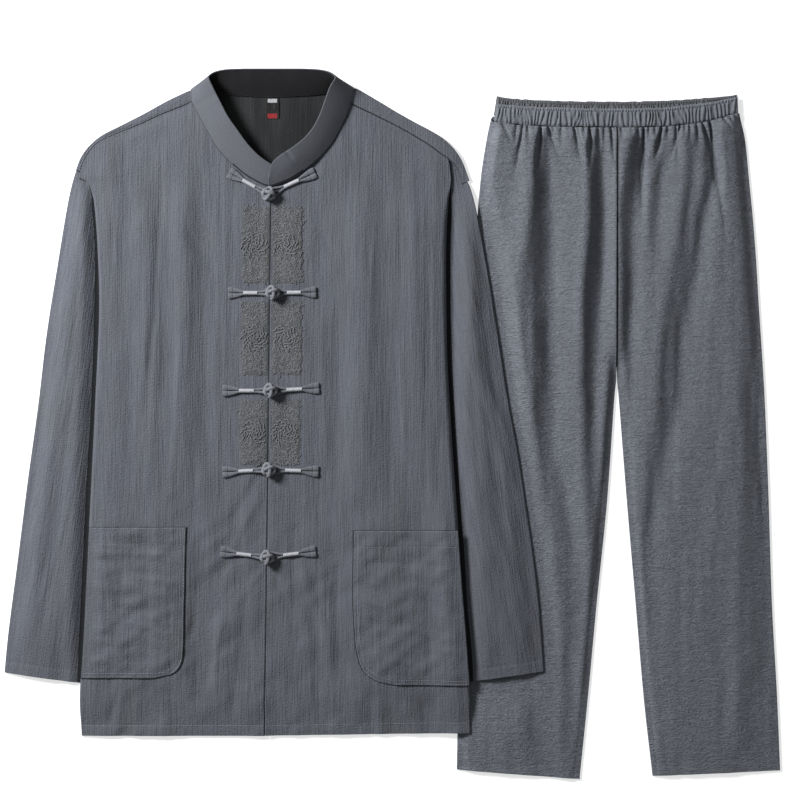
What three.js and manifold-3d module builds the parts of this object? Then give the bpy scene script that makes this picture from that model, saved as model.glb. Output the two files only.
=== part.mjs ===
// A two-piece tai chi uniform laid flat: a long-sleeved jacket with a stand collar, knotted frog
// fastenings and patch pockets, and trousers with a gathered elastic waist. The jacket lies on the
// floor with one sleeve and one side over a trouser leg. Millimetres, +Z up, +Y towards the collar,
// origin on the floor at the middle of the set's outline. Left and right are the wearer's own, so the
// right side of each garment is at -X. Every piece is a wall of cloth with its own thickness.
import * as THREE from "three";
import { mergeVertices } from "three/addons/utils/BufferGeometryUtils.js";
import Module from "manifold-3d";

// Driving sizes
const WALL = 1.2; // one layer of the crinkled cloth
const SEAM_GAP = 0.3; // clearance between two pieces that are sewn or lie together
const LOFT = 3.2; // how far a front panel arches over its back panel
const COLLAR_WALL = 1.8; // two layers and their interlining
const JACKET_AT = new THREE.Vector3(-159.1, -398.25, 0); // foot of the centre front
const TROUSERS_AT = new THREE.Vector3(287.4, -449.75, 0); // foot of the centre front line
const JACKET_FROM_TROUSERS = JACKET_AT.x - TROUSERS_AT.x;
const JACKET_ABOVE_TROUSERS = JACKET_AT.y - TROUSERS_AT.y;

// Small numeric helpers
const clamp01 = (t) => Math.min(1, Math.max(0, t));
const ramp = (t) => clamp01(t) ** 2 * (3 - 2 * clamp01(t));
const mix = (a, b, t) => a + (b - a) * t;
const range = (n) => Array.from({ length: n }, (_, i) => i);
const evenly = (steps) => range(steps + 1).map((i) => i / steps);

// A smooth curve through two named columns of a table, with no overshoot between its rows.
function profile(table, from, to) {
  const x = table.map((row) => row[from]);
  const y = table.map((row) => row[to]);
  const steps = x.slice(1).map((next, i) => (y[i + 1] - y[i]) / (next - x[i]));
  const slopes = x.map((_, i) => {
    const before = steps[i - 1] ?? steps[i];
    const after = steps[i] ?? steps[i - 1];
    return before * after <= 0 ? 0 : (2 * before * after) / (before + after);
  });
  return (at) => {
    if (at <= x[0]) return y[0];
    if (at >= x[x.length - 1]) return y[y.length - 1];
    const i = x.findIndex((next) => next > at) - 1;
    const width = x[i + 1] - x[i];
    const t = (at - x[i]) / width;
    return (
      y[i] * (1 + 2 * t) * (1 - t) ** 2 +
      slopes[i] * width * t * (1 - t) ** 2 +
      y[i + 1] * t * t * (3 - 2 * t) -
      slopes[i + 1] * width * t * t * (1 - t)
    );
  };
}

// Jacket outlines, from the hem up. side is the side seam, armhole and shoulder seam; front is the
// centre front edge and, above it, the neckline, which runs 3 mm under the collar.
const RIGHT_FRONT = [
  { y: 0, side: -239, front: -4 },
  { y: 46, side: -241, front: -4 },
  { y: 110, side: -237, front: -3 },
  { y: 269, side: -229, front: -1 },
  { y: 430, side: -221, front: 1 },
  { y: 558, side: -216, front: 2 },
  { y: 622, side: -218, front: 3 },
  { y: 686, side: -223, front: 4 },
  { y: 701, side: -227, front: 4 },
  { y: 709, side: -231, front: -10 },
  { y: 716, side: -242, front: -21 },
  { y: 724, side: -240, front: -33 },
  { y: 737, side: -235, front: -49 },
  { y: 750, side: -227, front: -61 },
  { y: 759, side: -218, front: -67 },
  { y: 773, side: -189, front: -75 },
  { y: 783, side: -164, front: -80 },
  { y: 795, side: -138, front: -87 },
  { y: 804, side: -115, front: -92 },
  { y: 808, side: -105, front: -95 },
];
const LEFT_FRONT = [
  { y: 4, side: 259, front: -3.5 },
  { y: 46, side: 259, front: -3.5 },
  { y: 97, side: 256, front: -2.6 },
  { y: 200, side: 248, front: -1.3 },
  { y: 302, side: 241, front: 0 },
  { y: 404, side: 234, front: 1.2 },
  { y: 507, side: 229, front: 2.2 },
  { y: 609, side: 228, front: 3.4 },
  { y: 686, side: 231, front: 4.5 },
  { y: 701, side: 233, front: 4.6 },
  { y: 714, side: 234, front: 26 },
  { y: 724, side: 233, front: 44 },
  { y: 737, side: 231, front: 60 },
  { y: 745, side: 220, front: 67 },
  { y: 755, side: 207, front: 76 },
  { y: 767, side: 188, front: 83 },
  { y: 780, side: 165, front: 90 },
  { y: 791, side: 143, front: 96 },
  { y: 801, side: 122, front: 100 },
  { y: 807, side: 109, front: 102 },
];
const BACK_ABOVE_ARMHOLES = [
  { y: 716, right: -240, left: 233 },
  { y: 737, right: -233, left: 231 },
  { y: 750, right: -223, left: 225 },
  { y: 763, right: -210, left: 214 },
  { y: 776, right: -189, left: 197 },
  { y: 788, right: -165, left: 176 },
  { y: 801, right: -141, left: 152 },
  { y: 810, right: -125, left: 136 },
  { y: 821, right: -112, left: 122 },
];
// Shoulder strips, from under the collar to the armhole: a point of the seam, which follows the
// front's own edge where no seamX is given, and the fold at the top of the shoulder behind it.
const RIGHT_SHOULDER = [
  { seamX: -98.5, seamY: 811.5, foldX: -93.5, foldY: 829 },
  { seamY: 808, foldX: -101, foldY: 826.5 },
  { seamY: 797, foldX: -129, foldY: 813.5 },
  { seamY: 785, foldX: -158, foldY: 797.5 },
  { seamY: 773, foldX: -188, foldY: 782 },
  { seamY: 761, foldX: -215.5, foldY: 767 },
];
const LEFT_SHOULDER = [
  { seamX: 103, seamY: 810.5, foldX: 105.5, foldY: 830.5 },
  { seamY: 807, foldX: 112, foldY: 829.5 },
  { seamY: 797, foldX: 139, foldY: 814.5 },
  { seamY: 785, foldX: 164, foldY: 799.5 },
  { seamY: 773, foldX: 187, foldY: 786.5 },
  { seamY: 761, foldX: 208, foldY: 775 },
  { seamY: 750, foldX: 226, foldY: 763.5 },
  { seamY: 738, foldX: 241, foldY: 748 },
  { seamY: 726, foldX: 251, foldY: 730 },
  { seamY: 716, foldX: 256, foldY: 714 },
];
// Sleeves, from the cuff up. inner is the edge that lies hidden under the jacket's side, and drop is
// how much nearer the floor's foot that edge of the row is, because the cuffs slant.
const RIGHT_SLEEVE = [
  { y: 81, outer: -338, inner: -229, drop: 15 },
  { y: 123, outer: -334, inner: -227, drop: 13 },
  { y: 225, outer: -321, inner: -222, drop: 10 },
  { y: 328, outer: -308, inner: -217, drop: 7 },
  { y: 430, outer: -294, inner: -211, drop: 5 },
  { y: 507, outer: -285, inner: -208, drop: 3 },
  { y: 609, outer: -269, inner: -206, drop: 1 },
  { y: 686, outer: -256, inner: -211, drop: 0 },
  { y: 712, outer: -250, inner: -221, drop: 0 },
  { y: 737, outer: -241, inner: -224, drop: 0 },
  { y: 750, outer: -233, inner: -219, drop: 0 },
  { y: 762, outer: -222, inner: -213, drop: 0 },
];
const LEFT_SLEEVE = [
  { y: 83, outer: 353, inner: 247, drop: 15 },
  { y: 110, outer: 351, inner: 246, drop: 14 },
  { y: 174, outer: 346, inner: 240, drop: 12 },
  { y: 238, outer: 338, inner: 236, drop: 10 },
  { y: 302, outer: 329, inner: 231, drop: 8 },
  { y: 366, outer: 319, inner: 227, drop: 6 },
  { y: 430, outer: 307, inner: 223, drop: 5 },
  { y: 494, outer: 297, inner: 220, drop: 3 },
  { y: 558, outer: 287, inner: 218, drop: 2 },
  { y: 622, outer: 276, inner: 218, drop: 1 },
  { y: 699, outer: 260, inner: 222, drop: 0 },
  { y: 724, outer: 247, inner: 224, drop: 0 },
  { y: 745, outer: 233, inner: 221, drop: 0 },
];
// The trousers' own outlines, from the hem up: side seam, and inner leg below the crotch.
const RIGHT_LEG = [
  { y: 0, side: -205, inner: -47 },
  { y: 97, side: -203, inner: -37 },
  { y: 225, side: -199, inner: -25 },
  { y: 353, side: -195, inner: -12 },
  { y: 481, side: -190, inner: -3 },
  { y: 517, side: -189, inner: -0.4 },
  { y: 609, side: -184, inner: -0.4 },
  { y: 660, side: -181, inner: -0.4 },
  { y: 718, side: -178, inner: -0.2 },
  { y: 763, side: -174, inner: -0.2 },
  { y: 814, side: -166, inner: -0.2 },
  { y: 838, side: -161, inner: -0.2 },
];
const LEFT_LEG = [
  { y: 0, side: 210, inner: 46 },
  { y: 97, side: 206, inner: 35 },
  { y: 225, side: 199, inner: 24 },
  { y: 353, side: 195, inner: 13 },
  { y: 481, side: 190, inner: 3 },
  { y: 517, side: 188, inner: 0.4 },
  { y: 609, side: 182, inner: 0.4 },
  { y: 660, side: 179, inner: 0.4 },
  { y: 712, side: 175, inner: 0.2 },
  { y: 763, side: 170, inner: 0.2 },
  { y: 814, side: 165, inner: 0.2 },
  { y: 850, side: 157, inner: 0.2 },
];
const CROTCH_Y = 517;
const RIGHT_HEM_DROP = 12; // the inner leg's corner of the right hem lies this much lower
const LEFT_HEM_RISE = 7; // the side seam's corner of the left hem lies this much higher
// The waistband's edges from the right side fold to the left one.
const WAISTBAND = [
  { x: -158, foot: 838, head: 861, backHead: 871 },
  { x: -124, foot: 834, head: 858, backHead: 867 },
  { x: -73, foot: 832, head: 856, backHead: 865 },
  { x: 0, foot: 831, head: 855, backHead: 864 },
  { x: 55, foot: 832, head: 856, backHead: 865 },
  { x: 106, foot: 837, head: 861, backHead: 868 },
  { x: 138, foot: 844, head: 866, backHead: 871 },
  { x: 156, foot: 850, head: 870, backHead: 873 },
];
const WAISTBAND_HEIGHT = 25;
const WAISTBAND_THICKNESS = 2.2; // casing and elastic, under the ruffles
const RUFFLES = 46; // ruffles on each half of the waistband
const RUFFLE_HEIGHT = 1.5;
const GATHERS = 15; // gathers that each front panel hangs from the waistband in
const GATHER_HEIGHT = 1.7;
const GATHER_LENGTH = 62;

// Folds: a soft ridge, or a trough where height is negative, from one end to the other.
const JACKET_FOLDS = [
  { fromX: -84, fromY: 740, toX: -82, toY: 330, width: 12, height: -1.6 },
  { fromX: -134, fromY: 730, toX: -126, toY: 420, width: 13, height: -1.5 },
  { fromX: -108, fromY: 720, toX: -104, toY: 300, width: 14, height: 1.6 },
  { fromX: -186, fromY: 700, toX: -176, toY: 340, width: 15, height: -1.3 },
  { fromX: -158, fromY: 690, toX: -150, toY: 300, width: 14, height: 1.4 },
  { fromX: -90, fromY: 250, toX: -84, toY: 10, width: 13, height: -1.8 },
  { fromX: 90, fromY: 560, toX: 86, toY: 290, width: 12, height: -1.7 },
  { fromX: 118, fromY: 730, toX: 122, toY: 290, width: 15, height: 1.5 },
  { fromX: 148, fromY: 720, toX: 158, toY: 300, width: 13, height: -1.4 },
  { fromX: 186, fromY: 690, toX: 192, toY: 290, width: 13, height: 1.3 },
  { fromX: 90, fromY: 250, toX: 98, toY: 10, width: 14, height: -1.8 },
  { fromX: 219, fromY: 420, toX: 221, toY: 268, width: 8, height: -1.6 },
];
const SLEEVE_FOLDS = [
  { fromX: -232, fromY: 470, toX: -262, toY: 260, width: 11, height: 1.8 },
  { fromX: -250, fromY: 430, toX: -286, toY: 150, width: 12, height: -1.6 },
  { fromX: -262, fromY: 640, toX: -284, toY: 380, width: 12, height: 1.4 },
  { fromX: 256, fromY: 600, toX: 282, toY: 300, width: 10, height: 1.5 },
  { fromX: 270, fromY: 560, toX: 306, toY: 190, width: 11, height: -1.4 },
  { fromX: 262, fromY: 360, toX: 290, toY: 120, width: 12, height: 1.5 },
];
const TROUSER_FOLDS = [
  { fromX: -118, fromY: 822, toX: -128, toY: 440, width: 16, height: 3.4 },
  { fromX: -93, fromY: 815, toX: -92, toY: 260, width: 15, height: -2.6 },
  { fromX: -66, fromY: 824, toX: -58, toY: 180, width: 17, height: 4.4 },
  { fromX: -35, fromY: 826, toX: -30, toY: 400, width: 10, height: -3 },
  { fromX: -17, fromY: 790, toX: -16, toY: 430, width: 9, height: 3 },
  { fromX: 16, fromY: 826, toX: 6, toY: 600, width: 11, height: -2.8 },
  { fromX: 30, fromY: 815, toX: 20, toY: 480, width: 8, height: 3.2 },
  { fromX: 42, fromY: 805, toX: 32, toY: 560, width: 7, height: -2.2 },
  { fromX: 62, fromY: 815, toX: 38, toY: 380, width: 13, height: 4 },
  { fromX: 92, fromY: 800, toX: 58, toY: 330, width: 14, height: -3 },
  { fromX: 124, fromY: 820, toX: 104, toY: 200, width: 22, height: 4.2 },
  { fromX: -142, fromY: 105, toX: -120, toY: -40, width: 16, height: 1.4 },
  { fromX: -92, fromY: 105, toX: -90, toY: -40, width: 12, height: -1.8 },
];

// The height that a list of folds adds at one point.
function foldHeight(folds, x, y) {
  let sum = 0;
  for (const f of folds) {
    const along = clamp01((y - f.toY) / (f.fromY - f.toY));
    const middle = mix(f.toX, f.fromX, along);
    const reach = ramp((y - f.toY) / 70) * ramp((f.fromY - y) / 45);
    sum += f.height * reach * Math.exp(-(((x - middle) / f.width) ** 2));
  }
  return sum;
}

const rightSide = profile(RIGHT_FRONT, "y", "side");
const leftSide = profile(LEFT_FRONT, "y", "side");
const trouserSide = profile(RIGHT_LEG, "y", "side");
const sleeveOuter = profile(LEFT_SLEEVE, "y", "outer");

// Heights of the layers. All take a place in the jacket's own frame, unless they say otherwise.
const SLEEVE_TOP = 3.3; // what a jacket side has to clear where a sleeve's hidden edge lies under it
const LEG_TOP = 6.2; // what a sleeve has to clear where it lies on the trouser leg
const LIFT_RUN = 36;
const LIFT_SHELF = 14;
const ARMHOLE_Y = 701;

// How far the left sleeve is held up by the trouser leg.
function legLift(x, y) {
  const edge = trouserSide(y + JACKET_ABOVE_TROUSERS) - JACKET_FROM_TROUSERS;
  return LEG_TOP * ramp((x - edge + 27) / 27) * ramp((745 - y) / 60);
}

// How far the jacket's body is held up by the sleeves and the leg that lie under its sides.
function bodyLift(x, y) {
  const level = Math.min(y, ARMHOLE_Y);
  const inward = (distance) => ramp((LIFT_SHELF + LIFT_RUN - distance) / LIFT_RUN);
  const right = SLEEVE_TOP * inward(x - rightSide(level)) * ramp((y - 10) / 30);
  const onLeg = LEG_TOP + 0.4;
  const onSleeve = SLEEVE_TOP + legLift(leftSide(level) + 3, y);
  const left = mix(onLeg, onSleeve, ramp((y - 15) / 30)) * inward(leftSide(level) - x);
  return right + left;
}

// The shoulder seams, extended to the centre, give each front the distance to its top.
const SHOULDER_SLOPE = 0.45;
const SHOULDER_MIDDLE_Y = 857;
const belowShoulder = (x, y) => SHOULDER_MIDDLE_Y - SHOULDER_SLOPE * Math.abs(x) - y;

// The underside and top of the front panels.
function frontUnder(x, y) {
  const inside = Math.min(x - rightSide(y), leftSide(y) - x);
  const arch = ramp(inside / 40) * mix(0.4, 1, ramp(belowShoulder(x, y) / 60));
  const hem = mix(0.45, 1, ramp(y / 60));
  const plain = ramp((Math.abs(x) - 66) / 20) * ramp(belowShoulder(x, y) / 50) * ramp(inside / 25);
  const seam = mix(SEAM_GAP, 2 * SEAM_GAP, ramp((y - 690) / 20));
  return bodyLift(x, y) + WALL + seam + LOFT * arch * hem + plain * foldHeight(JACKET_FOLDS, x, y);
}
const frontTop = (x, y) => frontUnder(x, y) + WALL;

// A closed wall between two equal grids of points, [row][column].
function wall(lower, upper) {
  const rows = lower.length;
  const columns = lower[0].length;
  const points = [...lower.flat(), ...upper.flat()];
  const low = (r, c) => r * columns + c;
  const high = (r, c) => rows * columns + r * columns + c;
  const index = [];
  const quad = (a, b, c, d) => index.push(a, b, c, a, c, d);
  for (const r of range(rows - 1)) {
    for (const c of range(columns - 1)) {
      quad(high(r, c), high(r, c + 1), high(r + 1, c + 1), high(r + 1, c));
      quad(low(r, c), low(r + 1, c), low(r + 1, c + 1), low(r, c + 1));
    }
    quad(low(r, 0), high(r, 0), high(r + 1, 0), low(r + 1, 0));
    const c = columns - 1;
    quad(low(r, c), low(r + 1, c), high(r + 1, c), high(r, c));
  }
  for (const c of range(columns - 1)) {
    quad(low(0, c), low(0, c + 1), high(0, c + 1), high(0, c));
    const r = rows - 1;
    quad(low(r, c), high(r, c), high(r, c + 1), low(r, c + 1));
  }
  return facingOut(geometryOf(points, index));
}

// A closed tube through rings of points, capped at both ends.
function tube(rings) {
  const sides = rings[0].length;
  const points = rings.flat();
  const index = [];
  for (const r of range(rings.length - 1)) {
    for (const k of range(sides)) {
      const a = r * sides + k;
      const b = r * sides + ((k + 1) % sides);
      index.push(a, b, b + sides, a, b + sides, a + sides);
    }
  }
  const last = (rings.length - 1) * sides;
  for (const k of range(sides - 2)) {
    index.push(0, k + 2, k + 1);
    index.push(last, last + k + 1, last + k + 2);
  }
  return facingOut(geometryOf(points, index));
}

function geometryOf(points, index) {
  const flat = new Float32Array(points.flatMap((p) => [p.x, p.y, p.z]));
  const position = new THREE.BufferAttribute(flat, 3);
  return new THREE.BufferGeometry().setAttribute("position", position).setIndex(index);
}

// Turns every face round where the solid would be inside out.
function facingOut(geometry) {
  const at = geometry.getAttribute("position");
  const index = Array.from(geometry.index.array);
  const corner = (i) => new THREE.Vector3().fromBufferAttribute(at, index[i]);
  let volume = 0;
  for (let i = 0; i < index.length; i += 3) volume += corner(i).dot(corner(i + 1).cross(corner(i + 2)));
  if (volume < 0) for (let i = 0; i < index.length; i += 3) [index[i], index[i + 1]] = [index[i + 1], index[i]];
  return geometry.setIndex(index);
}

// A panel: a grid of places, a height for its underside, and one layer of cloth upwards from it.
function panel(rows, across, place, under, thickness = () => WALL) {
  const lower = [];
  const upper = [];
  rows.forEach((row, r) => {
    const flat = across.map((u) => place(u, row));
    lower.push(flat.map((p) => new THREE.Vector3(p.x, p.y, under(p.x, p.y, r))));
    upper.push(flat.map((p, c) => new THREE.Vector3(p.x, p.y, under(p.x, p.y, r) + thickness(r, c))));
  });
  return wall(lower, upper);
}

// A sheet of points with its thickness set off along the surface's own normals.
function shell(outer, thickness) {
  const last = { r: outer.length - 1, c: outer[0].length - 1 };
  const inner = outer.map((row, r) =>
    row.map((point, c) => {
      const up = outer[Math.min(r + 1, last.r)][c].clone().sub(outer[Math.max(r - 1, 0)][c]);
      const across = row[Math.min(c + 1, last.c)].clone().sub(row[Math.max(c - 1, 0)]);
      return point.clone().addScaledVector(across.cross(up).normalize(), -thickness);
    }),
  );
  return wall(inner, outer);
}

// Cloth colours
const CLOTH = new THREE.MeshStandardMaterial({ color: 0x666c75, roughness: 0.85, metalness: 0 });
const SILVER_CLOTH = new THREE.MeshStandardMaterial({ color: 0xc9cbd0, roughness: 0.4, metalness: 0.2 });
const BLACK_SATIN = new THREE.MeshStandardMaterial({ color: 0x141416, roughness: 0.5, metalness: 0 });

function piece(name, geometry, material = CLOTH) {
  const mesh = new THREE.Mesh(geometry, material);
  mesh.name = name;
  return mesh;
}

// Jacket body
const BODY_ROWS = [45, 100, 170, 225, 272, 340, 420, 500, 580, 640, 686, 701];
const YOKE_ROWS = [709, 716, 726, 738, 750, 761, 773, 785, 797]; // from the armholes' top to the neck
const FRONT_ACROSS = [0, 0.06, 0.12, 0.18, 0.25, 0.34, 0.43, 0.52, 0.61, 0.7, 0.8, 0.9, 1];

function front(outline) {
  const side = profile(outline, "y", "side");
  const edge = profile(outline, "y", "front");
  const foot = outline[0].y;
  const head = outline[outline.length - 1].y;
  const rows = [foot, ...BODY_ROWS, ...YOKE_ROWS, head];
  const place = (u, y) => ({ x: mix(side(y), edge(y), u), y });
  return panel(rows, FRONT_ACROSS, place, frontUnder);
}

const BACK_BODY_ROWS = [0, 45, 100, 180, 269, 350, 430, 500, 580, 640, 690];
const BACK_NECK_ROWS = [810, 821];
const BACK_ACROSS = [0, 0.03, 0.055, 0.08, 0.11, 0.2, 0.35, 0.5, 0.65, 0.8, 0.89, 0.92, 0.945, 0.97, 1];
const NECK = { x: 5, y: 821, halfWidth: 90, rise: 9 }; // the back's neckline, lowest at its middle
const SHOULDER_START = { out: 100, y: 823, slope: 0.46, innerSlope: 1.2 };

// The back's top edge: a shallow neckline, and the start of the shoulders at both its ends.
function neckEdge(x) {
  const out = Math.abs(x - NECK.x);
  const neckline = NECK.y + NECK.rise * (out / NECK.halfWidth) ** 2;
  const past = out - SHOULDER_START.out;
  const slope = past > 0 ? SHOULDER_START.slope : SHOULDER_START.innerSlope;
  return Math.min(neckline, SHOULDER_START.y - slope * past);
}

function jacketBack() {
  const upperRight = profile(BACK_ABOVE_ARMHOLES, "y", "right");
  const upperLeft = profile(BACK_ABOVE_ARMHOLES, "y", "left");
  const hemRise = LEFT_FRONT[0].y;
  const rows = [...BACK_BODY_ROWS, ...YOKE_ROWS, ...BACK_NECK_ROWS];
  const top = rows[rows.length - 1];
  const place = (u, y) => {
    const right = y < 716 ? rightSide(y) : upperRight(y);
    const left = y < 716 ? leftSide(y) : upperLeft(y);
    const x = mix(right, left, u);
    if (y === top) return { x, y: neckEdge(x) };
    return { x, y: y + hemRise * u * clamp01(1 - y / 200) };
  };
  return panel(rows, BACK_ACROSS, place, bodyLift);
}

// The back's own cloth rolls over the top of the shoulder and comes forward to the seam.
const ROLL = [90, 40, -10, -60]; // degrees round the fold, from its top to its underside

function shoulderStrip(table, side) {
  const outer = table.map(({ seamX, seamY, foldX, foldY }) => {
    const edge = new THREE.Vector3(seamX ?? side(seamY), seamY, 0);
    const fold = new THREE.Vector3(foldX, foldY, 0);
    const out = fold.clone().sub(edge).normalize();
    const top = frontTop(edge.x, edge.y);
    const radius = (top - bodyLift(edge.x, edge.y) - SEAM_GAP) / 2;
    const base = bodyLift(foldX, foldY) + SEAM_GAP;
    const start = edge.clone().addScaledVector(out, SEAM_GAP).setZ(top);
    const roll = ROLL.map((degrees) => {
      const angle = THREE.MathUtils.degToRad(degrees);
      const inset = radius * (1 - Math.cos(angle));
      return fold.clone().addScaledVector(out, -inset).setZ(base + radius + radius * Math.sin(angle));
    });
    return [start, ...roll];
  });
  const goesLeft = table[table.length - 1].foldX > table[0].foldX;
  return shell(goesLeft ? outer.map((row) => row.reverse()) : outer, WALL);
}

// Sleeves: an under layer on the floor or the leg, and an upper layer that arches over it.
const HIDDEN_EDGE = 14; // the strip of a sleeve that stays flat under the jacket's side
const SLEEVE_ROWS = [0, 0.06, 0.14, 0.22, 0.3, 0.38, 0.46, 0.54, 0.62, 0.7, 0.78, 0.85, 0.91, 0.95, 0.98, 1];
const SLEEVE_ACROSS = [0, 0.05, 0.12, 0.21, 0.33, 0.46, 0.59, 0.71, 0.81, 0.9, 1];
const FLAT_ACROSS = evenly(2);

function sleeve(table, lift, across, isUpper) {
  const outer = profile(table, "y", "outer");
  const inner = profile(table, "y", "inner");
  const drop = profile(table, "y", "drop");
  const foot = table[0].y;
  const head = table[table.length - 1].y;
  const place = (u, t) => {
    const y = mix(foot, head, t);
    return { x: mix(outer(y), inner(y), u), y: y - drop(y) * u };
  };
  const under = (x, y) => {
    const fromOuter = Math.abs(x - outer(y));
    const fromInner = Math.abs(x - inner(y)) - HIDDEN_EDGE;
    const arch = ramp(fromOuter / 30) * ramp(fromInner / 22) * mix(0.5, 1, ramp((y - foot) / 50));
    const calm = ramp((head - 30 - y) / 60);
    const folded = foldHeight(SLEEVE_FOLDS, x, y) * ramp(fromOuter / 22) * ramp((fromInner - 8) / 22) * calm;
    return lift(x, y) + WALL + SEAM_GAP + LOFT * arch * mix(0.5, 1, calm) + folded;
  };
  return panel(SLEEVE_ROWS, across, place, isUpper ? under : lift);
}

// The stand collar, from the wearer's right end at the centre front, round the back of the neck, to
// the left end, which laps over the right one. foot is its seam, head its free edge.
const COLLAR = [
  { footX: 10, footY: 703, headX: 15, headY: 726, rise: 8 },
  { footX: 0, footY: 703, headX: 5, headY: 731, rise: 9 },
  { footX: -23, footY: 713, headX: -10, headY: 741, rise: 11 },
  { footX: -45, footY: 730, headX: -24, headY: 755, rise: 13 },
  { footX: -65, footY: 751, headX: -38, headY: 774, rise: 15 },
  { footX: -79, footY: 775, headX: -50, headY: 791, rise: 17 },
  { footX: -91, footY: 797, headX: -60, headY: 810, rise: 19 },
  { footX: -99, footY: 814, headX: -69, headY: 828, rise: 22 },
  { footX: -99, footY: 828, headX: -74, headY: 840, rise: 24 },
  { footX: -84, footY: 829, headX: -68, headY: 847, rise: 24 },
  { footX: -62, footY: 823, headX: -52, headY: 851, rise: 23 },
  { footX: -30, footY: 820, headX: -26, headY: 852, rise: 22 },
  { footX: 6, footY: 819, headX: 6, headY: 852, rise: 22 },
  { footX: 42, footY: 820, headX: 38, headY: 852, rise: 22 },
  { footX: 74, footY: 823, headX: 64, headY: 851, rise: 23 },
  { footX: 97, footY: 830, headX: 81, headY: 847, rise: 24 },
  { footX: 110, footY: 830, headX: 87, headY: 840, rise: 24 },
  { footX: 108, footY: 814, headX: 80, headY: 828, rise: 22 },
  { footX: 104, footY: 800, headX: 74, headY: 812, rise: 20 },
  { footX: 95, footY: 780, headX: 67, headY: 793, rise: 18 },
  { footX: 84, footY: 760, headX: 58, headY: 776, rise: 17 },
  { footX: 69, footY: 742, headX: 47, headY: 763, rise: 16 },
  { footX: 48, footY: 724, headX: 33, headY: 752, rise: 15 },
  { footX: 28, footY: 711, headX: 19, headY: 743, rise: 14 },
  { footX: 10, footY: 704, headX: 9, headY: 735, rise: 13 },
  { footX: 1, footY: 702, headX: 2, headY: 727, rise: 12 },
];
const COLLAR_STEPS = 38;
const COLLAR_LAP = 2.4; // how far the left end lies above the right one

function collar() {
  const table = COLLAR.map((row, i) => ({ ...row, i }));
  const read = (name) => profile(table, "i", name);
  const [footX, footY, headX, headY, rise] = ["footX", "footY", "headX", "headY", "rise"].map(read);
  const last = table.length - 1;
  const outer = range(COLLAR_STEPS + 1).map((s) => {
    const i = (s / COLLAR_STEPS) * last;
    const lap = COLLAR_LAP * ramp((i - last + 5) / 3);
    const atBack = ramp((i - 8) / 1.5) * ramp((last - 9 - i) / 1.5);
    const onFront = frontTop(footX(i), Math.min(footY(i), 806)) + COLLAR_WALL + SEAM_GAP + lap;
    const base = mix(onFront, WALL + 2 * SEAM_GAP, atBack);
    return [0, 0.3, 0.65, 1].map((t) => {
      const bow = Math.sin(Math.PI * t) * 1.5;
      const z = base + rise(i) * t + bow;
      return new THREE.Vector3(mix(footX(i), headX(i), t), mix(footY(i), headY(i), t), z);
    });
  });
  return shell(outer, COLLAR_WALL);
}

// Patch pockets, which lie on the fronts. inner is the edge nearest the centre front.
const RIGHT_POCKET = [
  { y: 74, inner: -150 },
  { y: 78, inner: -126 },
  { y: 86, inner: -114 },
  { y: 98, inner: -108.5 },
  { y: 120, inner: -107 },
  { y: 180, inner: -106 },
  { y: 268, inner: -104 },
];
const LEFT_POCKET = [
  { y: 65, inner: 168 },
  { y: 70, inner: 141 },
  { y: 82, inner: 122 },
  { y: 98, inner: 115 },
  { y: 120, inner: 111 },
  { y: 180, inner: 108 },
  { y: 264, inner: 109 },
];
const POCKET_ACROSS = [0, 0.1, 0.2, 0.3, 0.42, 0.56, 0.7, 0.85, 1];
const POCKET_GAP = 0.7;

function pocket(outline, side, sideInset) {
  const inner = profile(outline, "y", "inner");
  const rows = [...outline.map((row) => row.y), 150, 210, 240].sort((a, b) => a - b);
  const place = (u, y) => ({ x: mix(side(y) + sideInset, inner(y), u), y });
  return panel(rows, POCKET_ACROSS, place, (x, y) => frontTop(x, y) + POCKET_GAP);
}

// Frog fastenings. A half runs along +X from the knot's middle to its own splayed end.
const KNOT = { radius: 9, flattening: 0.8, lift: 3.1 }; // the ball stands on its neck
const LOOP_RADIUS = 6;
const CORD_SIDES = 6;
const SPLAYED_END = [
  { along: 19, apart: 1, width: 1.7, depth: 2.2, height: 2.5 },
  { along: 38, apart: 1, width: 1.7, depth: 2.2, height: 2.5 },
  { along: 43, apart: 2.1, width: 3.4, depth: 2.4, height: 1.8 },
  { along: 50, apart: 3.2, width: 5.4, depth: 2.4, height: 1.6 },
  { along: 58, apart: 3.8, width: 6.8, depth: 2.6, height: 1.6 },
];
const KNOT_NECK = [
  { along: 5, apart: 2.1, width: 3, depth: 2.4, height: 5.6 },
  { along: 11, apart: 2.1, width: 3, depth: 2.4, height: 4.6 },
];
const LOOP_TURN = [
  { degrees: 45, height: 1.8 },
  { degrees: 75, height: 1.6 },
  { degrees: 110, height: 1.5 },
  { degrees: 145, height: 1.5 },
  { degrees: 180, height: 1.5 },
];
const FULL_LENGTH = 58;
const WRAP_FROM = 20;
const WRAP_TO = 37;

// The rings of a cord that is width wide and depth deep along a list of stations.
function cordRings(stations) {
  return stations.map((s, i) => {
    const before = stations[Math.max(i - 1, 0)].at;
    const after = stations[Math.min(i + 1, stations.length - 1)].at;
    const run = after.clone().sub(before).setZ(0).normalize();
    const across = new THREE.Vector3(-run.y, run.x, 0);
    return range(CORD_SIDES).map((k) => {
      const angle = ((k + 0.5) / CORD_SIDES) * 2 * Math.PI;
      const point = s.at.clone().addScaledVector(across, (Math.cos(angle) * s.width) / 2);
      return point.setZ(s.at.z + (Math.sin(angle) * s.depth) / 2 / Math.sin(Math.PI / 3));
    });
  });
}

const cordStations = (rows, sign, length) =>
  rows.map((row) => ({
    at: new THREE.Vector3(row.along * (length / FULL_LENGTH), sign * row.apart, row.height),
    width: row.width,
    depth: row.depth,
  }));

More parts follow.
